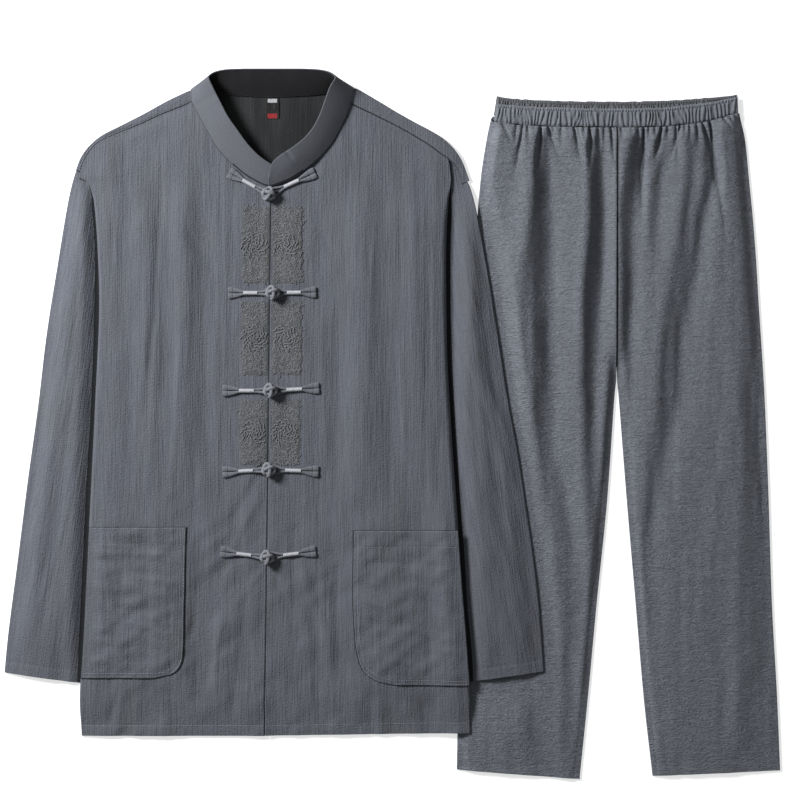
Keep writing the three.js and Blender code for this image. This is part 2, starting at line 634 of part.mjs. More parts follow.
// One cord that runs in from an end, round the knot's neck and back out to the other end.
function frogLoop(length) {
  const end = (sign) => cordStations(SPLAYED_END, sign, length);
  const turn = (sign) =>
    LOOP_TURN.map(({ degrees, height }) => {
      const angle = THREE.MathUtils.degToRad(degrees);
      const at = new THREE.Vector3(LOOP_RADIUS * Math.cos(angle), sign * LOOP_RADIUS * Math.sin(angle), height);
      return { at, width: 2.8, depth: 2.3 };
    });
  return tube(cordRings([...end(1).reverse(), ...turn(1), ...turn(-1).slice(0, -1).reverse(), ...end(-1)]));
}

const wasm = await Module();
wasm.setup();

// A three.js geometry as a solid that can be joined, and back again.
function solidOf(geometry) {
  const bare = geometry.clone();
  bare.deleteAttribute("normal");
  bare.deleteAttribute("uv");
  const merged = mergeVertices(bare, 1e-3);
  const vertProperties = merged.getAttribute("position").array;
  const triVerts = new Uint32Array(merged.index.array);
  return new wasm.Manifold(new wasm.Mesh({ numProp: 3, vertProperties, triVerts }));
}

function geometryFrom(solid) {
  const mesh = solid.getMesh();
  const position = new THREE.BufferAttribute(Float32Array.from(mesh.vertProperties), 3);
  return new THREE.BufferGeometry().setAttribute("position", position).setIndex(Array.from(mesh.triVerts));
}

// Two cords that come out of the wrap and run into the ball of the knot.
function frogKnot(length) {
  const ball = new THREE.SphereGeometry(KNOT.radius, 10, 7).rotateX(Math.PI / 2).scale(1, 1, KNOT.flattening);
  ball.translate(0, 0, KNOT.lift + KNOT.radius * KNOT.flattening);
  const rows = [...KNOT_NECK, ...SPLAYED_END];
  const [upper, lower] = [1, -1].map((sign) => solidOf(tube(cordRings(cordStations(rows, sign, length)))));
  return geometryFrom(solidOf(ball).add(upper).add(lower));
}

// The silver thread wrap: a flat tube that both cords pass through.
function frogWrap(length) {
  const scale = length / FULL_LENGTH;
  const section = (w, h) =>
    range(CORD_SIDES).map((k) => {
      const angle = ((k + 0.5) / CORD_SIDES) * 2 * Math.PI;
      return { y: (w / 2) * Math.cos(angle), z: 2.5 + ((h / 2) * Math.sin(angle)) / Math.sin(Math.PI / 3) };
    });
  const rings = [section(5.8, 4), section(4.6, 3)];
  const loop = [
    [WRAP_FROM, rings[0]],
    [WRAP_TO, rings[0]],
    [WRAP_TO, rings[1]],
    [WRAP_FROM, rings[1]],
  ];
  const points = loop.flatMap(([x, ring]) => ring.map((p) => new THREE.Vector3(x * scale, p.y, p.z)));
  const index = [];
  for (const r of range(4)) {
    for (const k of range(CORD_SIDES)) {
      const next = (k + 1) % CORD_SIDES;
      const [a, b] = [r * CORD_SIDES + k, r * CORD_SIDES + next];
      const [c, d] = [((r + 1) % 4) * CORD_SIDES + next, ((r + 1) % 4) * CORD_SIDES + k];
      index.push(a, b, c, a, c, d);
    }
  }
  return facingOut(geometryOf(points, index));
}

// Where each frog lies: the knot's middle, and the direction and length of its two halves.
const FROGS = [
  { x: 1, y: 693, rightAngle: 151, rightLength: 58, leftAngle: 25, leftLength: 66 },
  { x: 6, y: 567, rightAngle: 180, rightLength: 57, leftAngle: 1, leftLength: 56 },
  { x: 3, y: 442, rightAngle: 180, rightLength: 61, leftAngle: 3, leftLength: 63 },
  { x: 1, y: 341, rightAngle: 183, rightLength: 59, leftAngle: -2, leftLength: 64 },
  { x: -1, y: 229, rightAngle: 173, rightLength: 60, leftAngle: 7, leftLength: 63 },
];
const FROG_GAP = 0.4;

function frog(number, spot) {
  const group = new THREE.Group();
  group.position.set(spot.x, spot.y, frontTop(spot.x, spot.y) + FROG_GAP);
  const right = new THREE.Group();
  right.rotation.z = THREE.MathUtils.degToRad(spot.rightAngle);
  right.add(piece(`frog_${number}_knot`, frogKnot(spot.rightLength)));
  right.add(piece(`frog_${number}_wrap_right`, frogWrap(spot.rightLength), SILVER_CLOTH));
  const left = new THREE.Group();
  left.rotation.z = THREE.MathUtils.degToRad(spot.leftAngle);
  left.add(piece(`frog_${number}_loop`, frogLoop(spot.leftLength)));
  left.add(piece(`frog_${number}_wrap_left`, frogWrap(spot.leftLength), SILVER_CLOTH));
  group.add(right, left);
  return group;
}

// The plain woven label inside the back of the neck.
const LABEL = { width: 18, height: 28, thickness: 1, x: 5.5, y: 804 };

function neckLabel() {
  const label = new THREE.BoxGeometry(LABEL.width, LABEL.height, LABEL.thickness);
  return label.translate(LABEL.x, LABEL.y, WALL + SEAM_GAP + LABEL.thickness / 2);
}

// Trousers, in their own frame: the floor is z 0 and the hem's middle is y 0.
const FRONT_LEG_ROWS = [0, 0.05, 0.1, 0.16, 0.26, 0.38, 0.5, 0.6, 0.66, 0.74, 0.82, 0.88, 0.93, 0.97, 1];
const BACK_LEG_ROWS = [0, 0.15, 0.3, 0.45, 0.6, 0.7, 0.8, 0.9, 1];
const LEG_SEAM_GAP = 0.7; // between a leg's top edge and the waistband's foot, along the floor
const bandFoot = profile(WAISTBAND, "x", "foot");
const bandHead = profile(WAISTBAND, "x", "head");
const bandBackHead = profile(WAISTBAND, "x", "backHead");

// The folds die away where the sleeve presses the leg flat.
function freeOfSleeve(x, y) {
  const jacketY = y - JACKET_ABOVE_TROUSERS;
  const edge = sleeveOuter(jacketY) + JACKET_FROM_TROUSERS;
  const beside = ramp((x - edge - 9) / 22);
  return Math.max(beside, ramp((LEFT_SLEEVE[0].y - 20 - jacketY) / 40), ramp((jacketY - 690) / 60));
}

function legUnder(table) {
  const side = profile(table, "y", "side");
  const inner = profile(table, "y", "inner");
  return (x, y) => {
    const fromSide = ramp(Math.abs(x - side(y)) / 28);
    const fromInner = mix(ramp(Math.abs(x - inner(y)) / 28), 1, ramp((y - CROTCH_Y + 10) / 50));
    const hem = mix(0.5, 1, ramp(y / 60));
    const arch = SEAM_GAP + LOFT * fromSide * fromInner * hem;
    const folds = foldHeight(TROUSER_FOLDS, x, y) * fromSide * fromInner * freeOfSleeve(x, y);
    const atBand = ramp((y - bandFoot(x) + 40) / 30);
    return WALL + mix(Math.max(SEAM_GAP, arch + folds), WAISTBAND_THICKNESS + 1.5, atBand);
  };
}

function legPlace(table, hemShift, headOf) {
  const side = profile(table, "y", "side");
  const inner = profile(table, "y", "inner");
  return (u, t) => {
    const near = headOf(mix(side(840), inner(840), u));
    const head = headOf(mix(side(near), inner(near), u));
    const y = head * t + hemShift(u) * clamp01(1 - t * 4);
    return { x: mix(side(y), inner(y), u), y };
  };
}

function frontLeg(table, hemShift) {
  const columns = GATHERS * 2;
  const place = legPlace(table, hemShift, (x) => bandFoot(x) - LEG_SEAM_GAP);
  const arch = legUnder(table);
  const lower = [];
  const upper = [];
  for (const t of FRONT_LEG_ROWS) {
    const points = range(columns + 1).map((c) => {
      const p = place(c / columns, t);
      const atSeam = c === 0 || c === columns;
      const swing = atSeam ? 0 : (c % 2 ? 1 : -1) * GATHER_HEIGHT;
      const gather = swing * ramp(1 - (bandFoot(p.x) - p.y) / GATHER_LENGTH);
      return new THREE.Vector3(p.x, p.y, arch(p.x, p.y) + gather);
    });
    lower.push(points);
    upper.push(points.map((p) => p.clone().setZ(p.z + WALL)));
  }
  return wall(lower, upper);
}

// The seat seam lies beside the front seam above it, not straight under it.
const SEAT_SEAM_SHIFT = 1;

function backLeg(table, hemShift) {
  const onLeg = legPlace(table, hemShift, (x) => bandBackHead(x) - WAISTBAND_HEIGHT - LEG_SEAM_GAP);
  const place = (u, t) => {
    const at = onLeg(u, t);
    return { x: at.x + SEAT_SEAM_SHIFT * u * ramp((at.y - CROTCH_Y) / 20), y: at.y };
  };
  return panel(BACK_LEG_ROWS, evenly(6), place, () => 0);
}

// One half of the waistband: a flat casing with its ruffles raised on the outer face.
function waistband(footOf, headOf, base) {
  const columns = RUFFLES * 2;
  const [first, last] = [WAISTBAND[0].x, WAISTBAND[WAISTBAND.length - 1].x];
  const place = (u, t) => {
    const x = mix(first, last, u);
    const lean = t * (u < 0.5 ? 5 * (1 - 2 * u) : -2 * (2 * u - 1));
    return { x: x + lean, y: mix(footOf(x), headOf(x), t) };
  };
  const thickness = (r, c) => {
    const edge = r === 1 ? 1 : 0.4;
    return WAISTBAND_THICKNESS + (c % 2 ? RUFFLE_HEIGHT * edge : 0);
  };
  return panel([0, 0.5, 1], evenly(columns), place, () => base, thickness);
}

const jacket = new THREE.Group();
jacket.position.copy(JACKET_AT);
jacket.add(
  piece("jacket_back", jacketBack()),
  piece("jacket_front_right", front(RIGHT_FRONT)),
  piece("jacket_front_left", front(LEFT_FRONT)),
  piece("shoulder_right", shoulderStrip(RIGHT_SHOULDER, rightSide)),
  piece("shoulder_left", shoulderStrip(LEFT_SHOULDER, leftSide)),
  piece("sleeve_right_upper", sleeve(RIGHT_SLEEVE, () => 0, SLEEVE_ACROSS, true)),
  piece("sleeve_right_under", sleeve(RIGHT_SLEEVE, () => 0, FLAT_ACROSS, false)),
  piece("sleeve_left_upper", sleeve(LEFT_SLEEVE, legLift, SLEEVE_ACROSS, true)),
  piece("sleeve_left_under", sleeve(LEFT_SLEEVE, legLift, SLEEVE_ACROSS, false)),
  piece("collar", collar()),
  piece("pocket_right", pocket(RIGHT_POCKET, rightSide, 0.5)),
  piece("pocket_left", pocket(LEFT_POCKET, leftSide, -0.5)),
  piece("neck_label", neckLabel(), BLACK_SATIN),
  ...FROGS.map((spot, i) => frog(i + 1, spot)),
);

const trousers = new THREE.Group();
trousers.position.copy(TROUSERS_AT);
const rightHem = (u) => mix(RIGHT_HEM_DROP - 4, -4, u);
const leftHem = (u) => mix(LEFT_HEM_RISE, 0, u);
trousers.add(
  piece("trouser_front_right", frontLeg(RIGHT_LEG, rightHem)),
  piece("trouser_front_left", frontLeg(LEFT_LEG, leftHem)),
  piece("trouser_back_right", backLeg(RIGHT_LEG, rightHem)),
  piece("trouser_back_left", backLeg(LEFT_LEG, leftHem)),
  piece("waistband_back", waistband((x) => bandBackHead(x) - WAISTBAND_HEIGHT, bandBackHead, 0)),
  piece("waistband_front", waistband(bandFoot, bandHead, WAISTBAND_THICKNESS + RUFFLE_HEIGHT + SEAM_GAP)),
);

const uniform = new THREE.Group();
uniform.add(jacket, trousers);
export default uniform;
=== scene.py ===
# A two-piece tai chi uniform laid flat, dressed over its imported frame: a crinkled jacket with frog
# fastenings over gathered trousers. The lengths here are millimetres in each garment's own frame, x
# towards the wearer's left and y towards the collar, and objects are made in metres.
import math

import bpy
import numpy as np
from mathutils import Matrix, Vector


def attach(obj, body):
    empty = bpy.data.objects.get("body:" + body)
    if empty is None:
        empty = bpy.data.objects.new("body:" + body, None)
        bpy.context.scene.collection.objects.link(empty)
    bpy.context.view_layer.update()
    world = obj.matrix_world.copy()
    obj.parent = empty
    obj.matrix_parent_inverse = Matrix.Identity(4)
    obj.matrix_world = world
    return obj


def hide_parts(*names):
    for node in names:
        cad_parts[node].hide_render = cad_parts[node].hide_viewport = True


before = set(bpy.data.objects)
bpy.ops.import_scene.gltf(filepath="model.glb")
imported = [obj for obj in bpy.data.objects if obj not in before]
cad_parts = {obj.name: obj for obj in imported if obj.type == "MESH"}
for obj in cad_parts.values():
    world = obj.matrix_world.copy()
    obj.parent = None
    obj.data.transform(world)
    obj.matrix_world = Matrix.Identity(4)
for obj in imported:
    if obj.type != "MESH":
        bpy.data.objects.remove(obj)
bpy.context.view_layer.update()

# Camera: straight above the set, with the photograph's frame
FRAME_PIXELS = 800
MM_PER_PIXEL = 1.28
VIEW_CENTRE = (9.9, 31.8)
VIEW_HEIGHT = 5
LENS = 100.0
SENSOR = 36.0

camera = bpy.data.objects.new("camera", bpy.data.cameras.new("camera"))
bpy.context.collection.objects.link(camera)
camera.data.lens = LENS
camera.data.sensor_width = SENSOR
camera_height = FRAME_PIXELS * MM_PER_PIXEL * LENS / SENSOR + VIEW_HEIGHT
camera.location = Vector((*VIEW_CENTRE, camera_height)) / 1000
bpy.context.scene.camera = camera

# The part's own sizes, as its source has them
WALL = 1.2
SEAM_GAP = 0.3
LOFT = 3.2
COLLAR_WALL = 1.8
JACKET_AT = (-159.1, -398.25)
TROUSERS_AT = (287.4, -449.75)
JACKET_FROM_TROUSERS = JACKET_AT[0] - TROUSERS_AT[0]
JACKET_ABOVE_TROUSERS = JACKET_AT[1] - TROUSERS_AT[1]


# Small numeric helpers
def clamp01(t):
    return np.clip(t, 0.0, 1.0)


def ramp(t):
    t = clamp01(t)
    return t * t * (3 - 2 * t)


def mix(a, b, t):
    return a + (b - a) * t


def bell(distance, width):
    return np.exp(-((distance / width) ** 2))


def curve(table, column):
    """A smooth curve through one column of a table against its first column, with no overshoot."""
    x = np.array([row[0] for row in table], float)
    y = np.array([row[column] for row in table], float)
    steps = np.diff(y) / np.diff(x)
    before = np.concatenate([steps[:1], steps])
    after = np.concatenate([steps, steps[-1:]])
    same = before * after > 0
    slopes = np.where(same, 2 * before * after / np.where(same, before + after, 1), 0)

    def at(v):
        v = np.clip(v, x[0], x[-1])
        i = np.clip(np.searchsorted(x, v, side="right") - 1, 0, len(x) - 2)
        width = x[i + 1] - x[i]
        t = (v - x[i]) / width
        return (
            y[i] * (1 + 2 * t) * (1 - t) ** 2
            + slopes[i] * width * t * (1 - t) ** 2
            + y[i + 1] * t * t * (3 - 2 * t)
            - slopes[i + 1] * width * t * t * (1 - t)
        )

    return at


def noise(x, y, seed=0):
    """Smooth noise from -1 to 1 whose cells are one unit wide."""
    x, y = np.broadcast_arrays(np.asarray(x, float), np.asarray(y, float))
    i, j = np.floor(x), np.floor(y)
    u, v = ramp(x - i), ramp(y - j)

    def corner(a, b):
        value = np.sin(a * 127.1 + b * 311.7 + seed * 74.7) * 43758.5453
        return 2 * (value - np.floor(value)) - 1

    low = mix(corner(i, j), corner(i + 1, j), u)
    high = mix(corner(i, j + 1), corner(i + 1, j + 1), u)
    return mix(low, high, v)


# Outlines. Columns: y, side, centre front edge.
RIGHT_FRONT = [
    (0, -239, -4), (46, -241, -4), (110, -237, -3), (269, -229, -1), (430, -221, 1), (558, -216, 2),
    (622, -218, 3), (686, -223, 4), (701, -227, 4), (709, -231, -10), (716, -242, -21), (724, -240, -33),
    (737, -235, -49), (750, -227, -61), (759, -218, -67), (773, -189, -75), (783, -164, -80),
    (795, -138, -87), (804, -115, -92), (808, -105, -95), (811.5, -99, -96.5),
]
LEFT_FRONT = [
    (4, 259, -3.5), (46, 259, -3.5), (97, 256, -2.6), (200, 248, -1.3), (302, 241, 0), (404, 234, 1.2),
    (507, 229, 2.2), (609, 228, 3.4), (686, 231, 4.5), (701, 233, 4.6), (714, 234, 26), (724, 233, 44),
    (737, 231, 60), (745, 220, 67), (755, 207, 76), (767, 188, 83), (780, 165, 90), (791, 143, 96),
    (801, 122, 100), (807, 109, 102), (810.5, 104, 102.5),
]
# Columns: y, right edge, left edge.
BACK_ABOVE_ARMHOLES = [
    (716, -240, 233), (737, -233, 231), (750, -223, 225), (763, -210, 214), (776, -189, 197),
    (788, -165, 176), (801, -141, 152), (810, -125, 136), (821, -112, 122),
]
# Columns: seam x (None: the front's own edge), seam y, fold x, fold y.
RIGHT_SHOULDER = [
    (-98.5, 811.5, -93.5, 829), (None, 808, -101, 826.5), (None, 797, -129, 813.5),
    (None, 785, -158, 797.5), (None, 773, -188, 782), (None, 761, -215.5, 767), (None, 750, -231.5, 752.5),
    (None, 737, -240.5, 739), (None, 723, -246.2, 724),
]
LEFT_SHOULDER = [
    (103, 810.5, 105.5, 830.5), (None, 807, 112, 829.5), (None, 797, 139, 814.5),
    (None, 785, 164, 799.5), (None, 773, 187, 786.5), (None, 761, 208, 775), (None, 750, 226, 763.5),
    (None, 738, 241, 748), (239, 730, 249.5, 734), (244.5, 720, 254, 722), (247.5, 706, 258, 711),
]
# Columns: y, outer edge, inner edge, drop of the inner edge.
RIGHT_SLEEVE = [
    (81, -338, -229, 15), (123, -334, -227, 13), (225, -321, -222, 10), (328, -308, -217, 7),
    (430, -294, -211, 5), (507, -285, -208, 3), (609, -269, -206, 1), (686, -256, -211, 0),
    (712, -250, -221, 0), (737, -241, -224, 0), (750, -233, -219, 0), (762, -222, -211, 0),
    (769, -213, -203, 0),
]
LEFT_SLEEVE = [
    (83, 353, 247, 15), (110, 351, 246, 14), (174, 346, 240, 12), (238, 338, 236, 10),
    (302, 329, 231, 8), (366, 319, 227, 6), (430, 307, 223, 5), (494, 297, 220, 3), (558, 287, 218, 2),
    (622, 276, 218, 1), (699, 260, 222, 0), (724, 247, 224, 0), (745, 233, 221, 0),
]
# Columns: y, side seam, inner leg and seat seam.
RIGHT_LEG = [
    (0, -205, -47), (97, -203, -37), (225, -199, -25), (353, -195, -12), (481, -190, -3),
    (517, -189, -0.4), (609, -184, -0.4), (660, -181, -0.4), (718, -178, -0.2), (763, -174, -0.2),
    (814, -166, -0.2), (838, -161, -0.2),
]
LEFT_LEG = [
    (0, 210, 46), (97, 206, 35), (225, 199, 24), (353, 195, 13), (481, 190, 3), (517, 188, 0.4),
    (609, 182, 0.4), (660, 179, 0.4), (712, 175, 0.2), (763, 170, 0.2), (814, 165, 0.2), (850, 157, 0.2),
]
CROTCH_Y = 517
# Columns: x, foot, head, head of the back half.
WAISTBAND = [
    (-158, 838, 861, 871), (-124, 834, 858, 867), (-73, 832, 856, 865), (0, 831, 855, 864),
    (55, 832, 856, 865), (106, 837, 861, 868), (138, 844, 866, 871), (156, 850, 870, 873),
]
WAISTBAND_HEIGHT = 25
WAISTBAND_THICKNESS = 2.2
RUFFLE_HEIGHT = 1.5
LEG_SEAM_GAP = 0.7

# Folds, from one end to the other. Columns: x and y of the upper end, x and y of the lower end, width
# towards -x, width towards +x, height.
JACKET_FOLDS = [
    (-84, 740, -82, 330, 12, 12, -1.6), (-134, 730, -126, 420, 13, 13, -1.5),
    (-108, 720, -104, 300, 14, 14, 1.6), (-186, 700, -176, 340, 15, 15, -1.3),
    (-158, 690, -150, 300, 14, 14, 1.4), (-90, 250, -84, 10, 13, 13, -1.8),
    (90, 560, 86, 290, 12, 12, -1.7), (118, 730, 122, 290, 15, 15, 1.5),
    (148, 720, 158, 300, 13, 13, -1.4), (186, 690, 192, 290, 13, 13, 1.3),
    (90, 250, 98, 10, 14, 14, -1.8), (219, 420, 221, 268, 8, 8, -1.6),
    (-133, 745, -160, 300, 5, 3, -0.7), (-142, 560, -168, 340, 4, 2.5, -0.6),
    (-199, 690, -201, 560, 3, 3, -0.6), (-112, 520, -122, 300, 4, 3, 0.6),
    (62, 690, 58, 330, 3, 4, -0.5), (135, 660, 128, 420, 4, 3, 0.5), (205, 640, 208, 420, 4, 3, -0.5),
    (170, 520, 176, 330, 4, 4, 0.5),
]
SLEEVE_FOLDS = [
    (-232, 470, -262, 260, 11, 11, 1.8), (-250, 430, -286, 150, 12, 12, -1.6),
    (-262, 640, -284, 380, 12, 12, 1.4), (256, 600, 282, 300, 10, 10, 1.5),
    (270, 560, 306, 190, 11, 11, -1.4), (262, 360, 290, 120, 12, 12, 1.5),
    (-236, 640, -256, 420, 6, 5, -0.9), (-238, 560, -270, 330, 4, 5, 0.8),
    (-246, 330, -300, 140, 7, 5, 0.9), (-262, 300, -296, 100, 5, 4, -0.8),
    (262, 690, 300, 330, 4, 5, -0.9), (274, 520, 318, 220, 5, 4, 0.8), (254, 540, 276, 240, 5, 6, -0.7),
    (296, 330, 332, 110, 6, 6, -0.8),
]
# Crests and troughs of the trousers, in order from the wearer's right. Each is its sharpness and its
# places. Columns: y, x, height.
TROUSER_LINES = [
    (0.0, [(-10, -205, 1), (400, -192, 2), (830, -162, 3)]),
    (0.3, [(-10, -122, 2.8), (127, -120, 3.2), (250, -135, 2.4), (560, -165, 3.4), (830, -150, 4.2)]),
    (0.3, [
        (-10, -98, 0.8), (127, -99, 0.8), (250, -112, 2.0), (400, -150, 3.2), (560, -152, 4.2),
        (830, -130, 4.4),
    ]),
    (0.5, [
        (-10, -76, 2.2), (127, -76, 2.8), (262, -88, 4.4), (295, -91, 5.0), (344, -107, 5.6),
        (376, -112, 6.0), (442, -122, 6.8), (561, -127, 7.5), (676, -119, 7.8), (754, -110, 7.0),
        (800, -102.5, 6.0), (826, -98.5, 4.6),
    ]),
    (0.9, [
        (-10, -57, 0.8), (127, -57, 0.8), (262, -55, 0.6), (295, -54, 0.5), (344, -63, 0.4),
        (376, -71, 0.3), (442, -82, 0.0), (561, -83, 0.0), (676, -84, 0.0), (754, -87, 0.0),
        (800, -89, 0.6), (826, -95, 1.0),
    ]),
    (1.0, [
        (-10, -46, 1.8), (200, -34, 2.5), (330, -38, 4.0), (400, -43, 5.0), (474, -43, 6.0),
        (504, -48, 6.5), (618, -47, 7.4), (646, -44, 7.5), (704, -37, 7.5), (790, -36, 7.2),
        (826, -34.6, 5.0),
    ]),
    (0.2, [
        (-10, -38, 1.2), (200, -24, 1.4), (330, -26, 2.0), (400, -28, 1.6), (474, -28, 0.6),
        (504, -27, 0.4), (618, -21, 0.0), (646, -18, 0.0), (704, -14, 0.0), (790, -17, 0.4),
        (826, -31, 1.4),
    ]),
    (0.4, [(0, -5, 2.0), (517, -5, 3.2), (560, -5, 3.8), (830, -4, 3.4)]),
    (0.3, [
        (0, 6, 2.0), (304, 10, 2.4), (418, 9, 3.0), (494, 7, 3.6), (560, 6, 4.6), (625, 5, 5.8),
        (700, 1, 5.4), (728, 1.5, 6.0), (767, 4, 6.8), (801, 10, 6.6), (826, 18, 5.0),
    ]),
    (0.6, [
        (0, 14, 0.9), (304, 16, 1.2), (418, 15, 1.2), (494, 13.5, 1.0), (560, 18, 0.6), (646, 21, 0.0),
        (690, 21.4, 0.0), (728, 23, 0.0), (767, 28, 0.0), (801, 32, 0.2), (826, 34, 0.6),
    ]),
    (0.2, [
        (0, 22, 1.4), (304, 22, 2.4), (418, 28, 4.8), (532, 34, 5.2), (670, 38, 4.6), (704, 40, 5.0),
        (760, 44, 5.4), (790, 50, 5.4), (820, 50, 4.4),
    ]),
    (0.4, [
        (0, 25, 1.4), (304, 25, 2.6), (418, 33, 5.2), (532, 41, 5.8), (670, 46, 3.6), (704, 48, 2.2),
        (760, 52.5, 0.8), (790, 58, 0.6), (820, 60, 1.0),
    ]),
    (0.4, [
        (-10, 28, 1.8), (200, 28, 2.8), (304, 30, 4.0), (342, 34, 4.8), (380, 38, 5.6), (418, 40, 6.2),
        (457, 43, 7.0), (494, 47, 7.4), (532, 50, 7.8), (561, 55, 8.0), (646, 66, 8.2), (688, 73.6, 8.0),
        (715, 77.4, 7.6), (741, 82.7, 7.2), (767, 87, 6.6), (790, 88.5, 6.2), (815, 90, 5.4),
    ]),
    (0.5, [
        (-10, 31, 1.6), (304, 34, 3.4), (418, 47, 4.4), (494, 58, 5.0), (561, 65, 5.2), (646, 79, 5.4),
        (700, 88, 4.4), (741, 95, 2.8), (767, 97, 2.2), (790, 98, 2.2), (815, 97, 2.4),
    ]),
    (0.3, [
        (-10, 33, 1.4), (304, 37, 2.9), (418, 51, 3.4), (494, 63, 3.8), (561, 70, 4.0), (646, 84, 4.4),
        (700, 94, 4.2), (741, 102, 4.6), (767, 105, 5.0), (790, 105, 4.8), (815, 104, 4.2),
    ]),
    (0.7, [
        (-10, 38, 1.0), (200, 40, 1.2), (304, 44, 1.4), (342, 50, 1.2), (380, 56, 1.0), (418, 61, 0.8),
        (457, 71, 0.5), (494, 80, 0.2), (532, 82, 0.0), (561, 84, 0.0), (646, 103, 0.0), (688, 110, 0.0),
        (715, 114, 0.0), (741, 121, 0.0), (772, 127.5, 0.0), (806, 126.5, 0.2), (829, 123, 0.6),
    ]),
    (0.8, [
        (-10, 60, 2.4), (200, 66, 3.0), (304, 70, 3.4), (418, 90, 4.2), (494, 110, 4.6), (561, 116, 5.0),
        (646, 124, 5.2), (688, 128, 5.4), (741, 128, 5.8), (772, 131, 6.4), (806, 130, 6.4),
        (829, 127, 5.2),
    ]),
    (0.7, [
        (-10, 150, 3.4), (127, 150, 3.8), (280, 157, 5.2), (476, 157, 6.6), (560, 160, 6.2),
        (700, 156, 5.4), (830, 148, 4.8),
    ]),
    (0.0, [(-10, 207, 0.0), (400, 193, 0.0), (830, 162, 0.5)]),
]


def relief(lines, x, y):
    """The height of cloth between lines of crests and troughs, which it joins with S-shaped slopes. A
    sharp line has a slope that starts or ends at it abruptly."""
    lines = [(sharp, curve(rows, 1)(y), curve(rows, 2)(y)) for sharp, rows in lines]
    total = lines[0][2] + 0 * x
    for (sharp_0, x_0, h_0), (sharp_1, x_1, h_1) in zip(lines, lines[1:]):
        t = clamp01((x - x_0) / (x_1 - x_0))
        step = t * t * (3 - 2 * t) + 1.5 * (sharp_0 * t * (1 - t) ** 2 - sharp_1 * t * t * (1 - t))
        total = total + (h_1 - h_0) * step
    return total


def fold_height(folds, x, y):
    """The height that a list of folds adds. A fold's ends die away into the cloth."""
    total = np.zeros(np.broadcast(x, y).shape)
    for from_x, from_y, to_x, to_y, left, right, height in folds:
        along = clamp01((y - to_y) / (from_y - to_y))
        off = x - mix(to_x, from_x, along)
        width = np.where(off < 0, left, right)
        reach = ramp((y - to_y) / 70) * ramp((from_y - y) / 45)
        total = total + height * reach * bell(off, width)
    return total


# Short creases. Columns: x and y of both ends, width, height.
CREASES = [
    (-16, 695, -6, 677, 1.7, -1.8), (-9, 699, -2, 680, 1.5, -1.6), (-35, 724, -33, 704, 2.0, -1.0),
    (-8, 217, -51, 187, 4.5, -1.0), (-8, 210, -41, 169, 4.0, 0.9), (-54, 218, -87, 187, 6.0, -1.1),
    (-8, 340, -46, 276, 5.0, -0.9), (-13, 302, -41, 251, 4.0, 0.8), (-81, 193, -100, 123, 6.0, -1.3),
    (-68, 97, -12, 59, 5.0, -1.0), (-151, 59, -87, 46, 4.0, -0.8), (9, 206, 41, 123, 5.0, -1.0),
    (41, 225, 79, 110, 7.0, 1.0), (22, 110, 92, 46, 5.0, -0.9), (105, 59, 195, 40, 4.0, -0.7),
    (-60, 150, -72, 70, 5.0, 1.0), (-40, 90, -46, 20, 4.0, -0.9), (60, 90, 66, 20, 4.0, -0.8),
    (-190, 58, -204, 18, 4.0, -0.8), (-120, 300, -60, 262, 6.0, -0.8), (60, 330, 108, 286, 6.0, -0.8),
    (-72, 196, -76, 80, 11.0, -2.0), (-28, 190, -32, 70, 7.0, -1.1), (60, 200, 64, 60, 7.0, -1.2),
    (86, 190, 90, 80, 5.0, -0.8), (-100, 640, -70, 600, 4.0, -0.7), (-92, 560, -60, 530, 4.0, 0.6),
    (70, 640, 100, 590, 4.0, -0.6), (92, 470, 130, 430, 5.0, -0.6), (-150, 480, -110, 440, 5.0, -0.6),
]


def crease_height(x, y):
    """The height that the short creases add, fading round their ends."""
    total = np.zeros(np.broadcast(x, y).shape)
    for x_0, y_0, x_1, y_1, width, height in CREASES:
        run_x, run_y = x_1 - x_0, y_1 - y_0
        along = clamp01(((x - x_0) * run_x + (y - y_0) * run_y) / (run_x ** 2 + run_y ** 2))
        off = (x - x_0 - along * run_x) ** 2 + (y - y_0 - along * run_y) ** 2
        total = total + height * np.exp(-off / width ** 2)
    return total


right_side = curve(RIGHT_FRONT, 1)
left_side = curve(LEFT_FRONT, 1)
centre_front = curve(LEFT_FRONT, 2)
trouser_side = curve(RIGHT_LEG, 1)
sleeve_outer = curve(LEFT_SLEEVE, 1)

# Heights of the jacket's layers, in its own frame
SLEEVE_TOP = 3.3
LEG_TOP = 6.2
LIFT_RUN = 36
LIFT_SHELF = 14
ARMHOLE_Y = 701


def leg_lift(x, y):
    """How far the left sleeve is held up by the trouser leg."""
    edge = trouser_side(y + JACKET_ABOVE_TROUSERS) - JACKET_FROM_TROUSERS
    return LEG_TOP * ramp((x - edge + 27) / 27) * ramp((745 - y) / 60)


def body_lift(x, y):
    """How far the jacket's body is held up by the sleeves and the leg that lie under its sides."""
    level = np.minimum(y, ARMHOLE_Y)

    def inward(distance):
        return ramp((LIFT_SHELF + LIFT_RUN - distance) / LIFT_RUN)

    right = SLEEVE_TOP * inward(x - right_side(level)) * ramp((y - 10) / 30)
    on_sleeve = SLEEVE_TOP + leg_lift(left_side(level) + 3, y)
    left = mix(LEG_TOP + 0.4, on_sleeve, ramp((y - 15) / 30)) * inward(left_side(level) - x)
    return right + left


SHOULDER_SLOPE = 0.45
SHOULDER_MIDDLE_Y = 857
HEM_DEPTH = 13


# Long creases beside the front edges. Columns: x, width, depth, y and run of the lower end, y and run
# of the upper end.
PLACKET_CREASES = [
    (-59, 2.2, 0.9, 330, 60, 735, 60), (45, 2.0, 0.7, 590, 20, 670, 30), (75, 2.2, 0.6, 390, 40, 540, 40),
]
CREASE_SCALE = 1.5
LOW_FRONT = (330, 90)  # the y where the sagging cloth near the hem starts, and its run


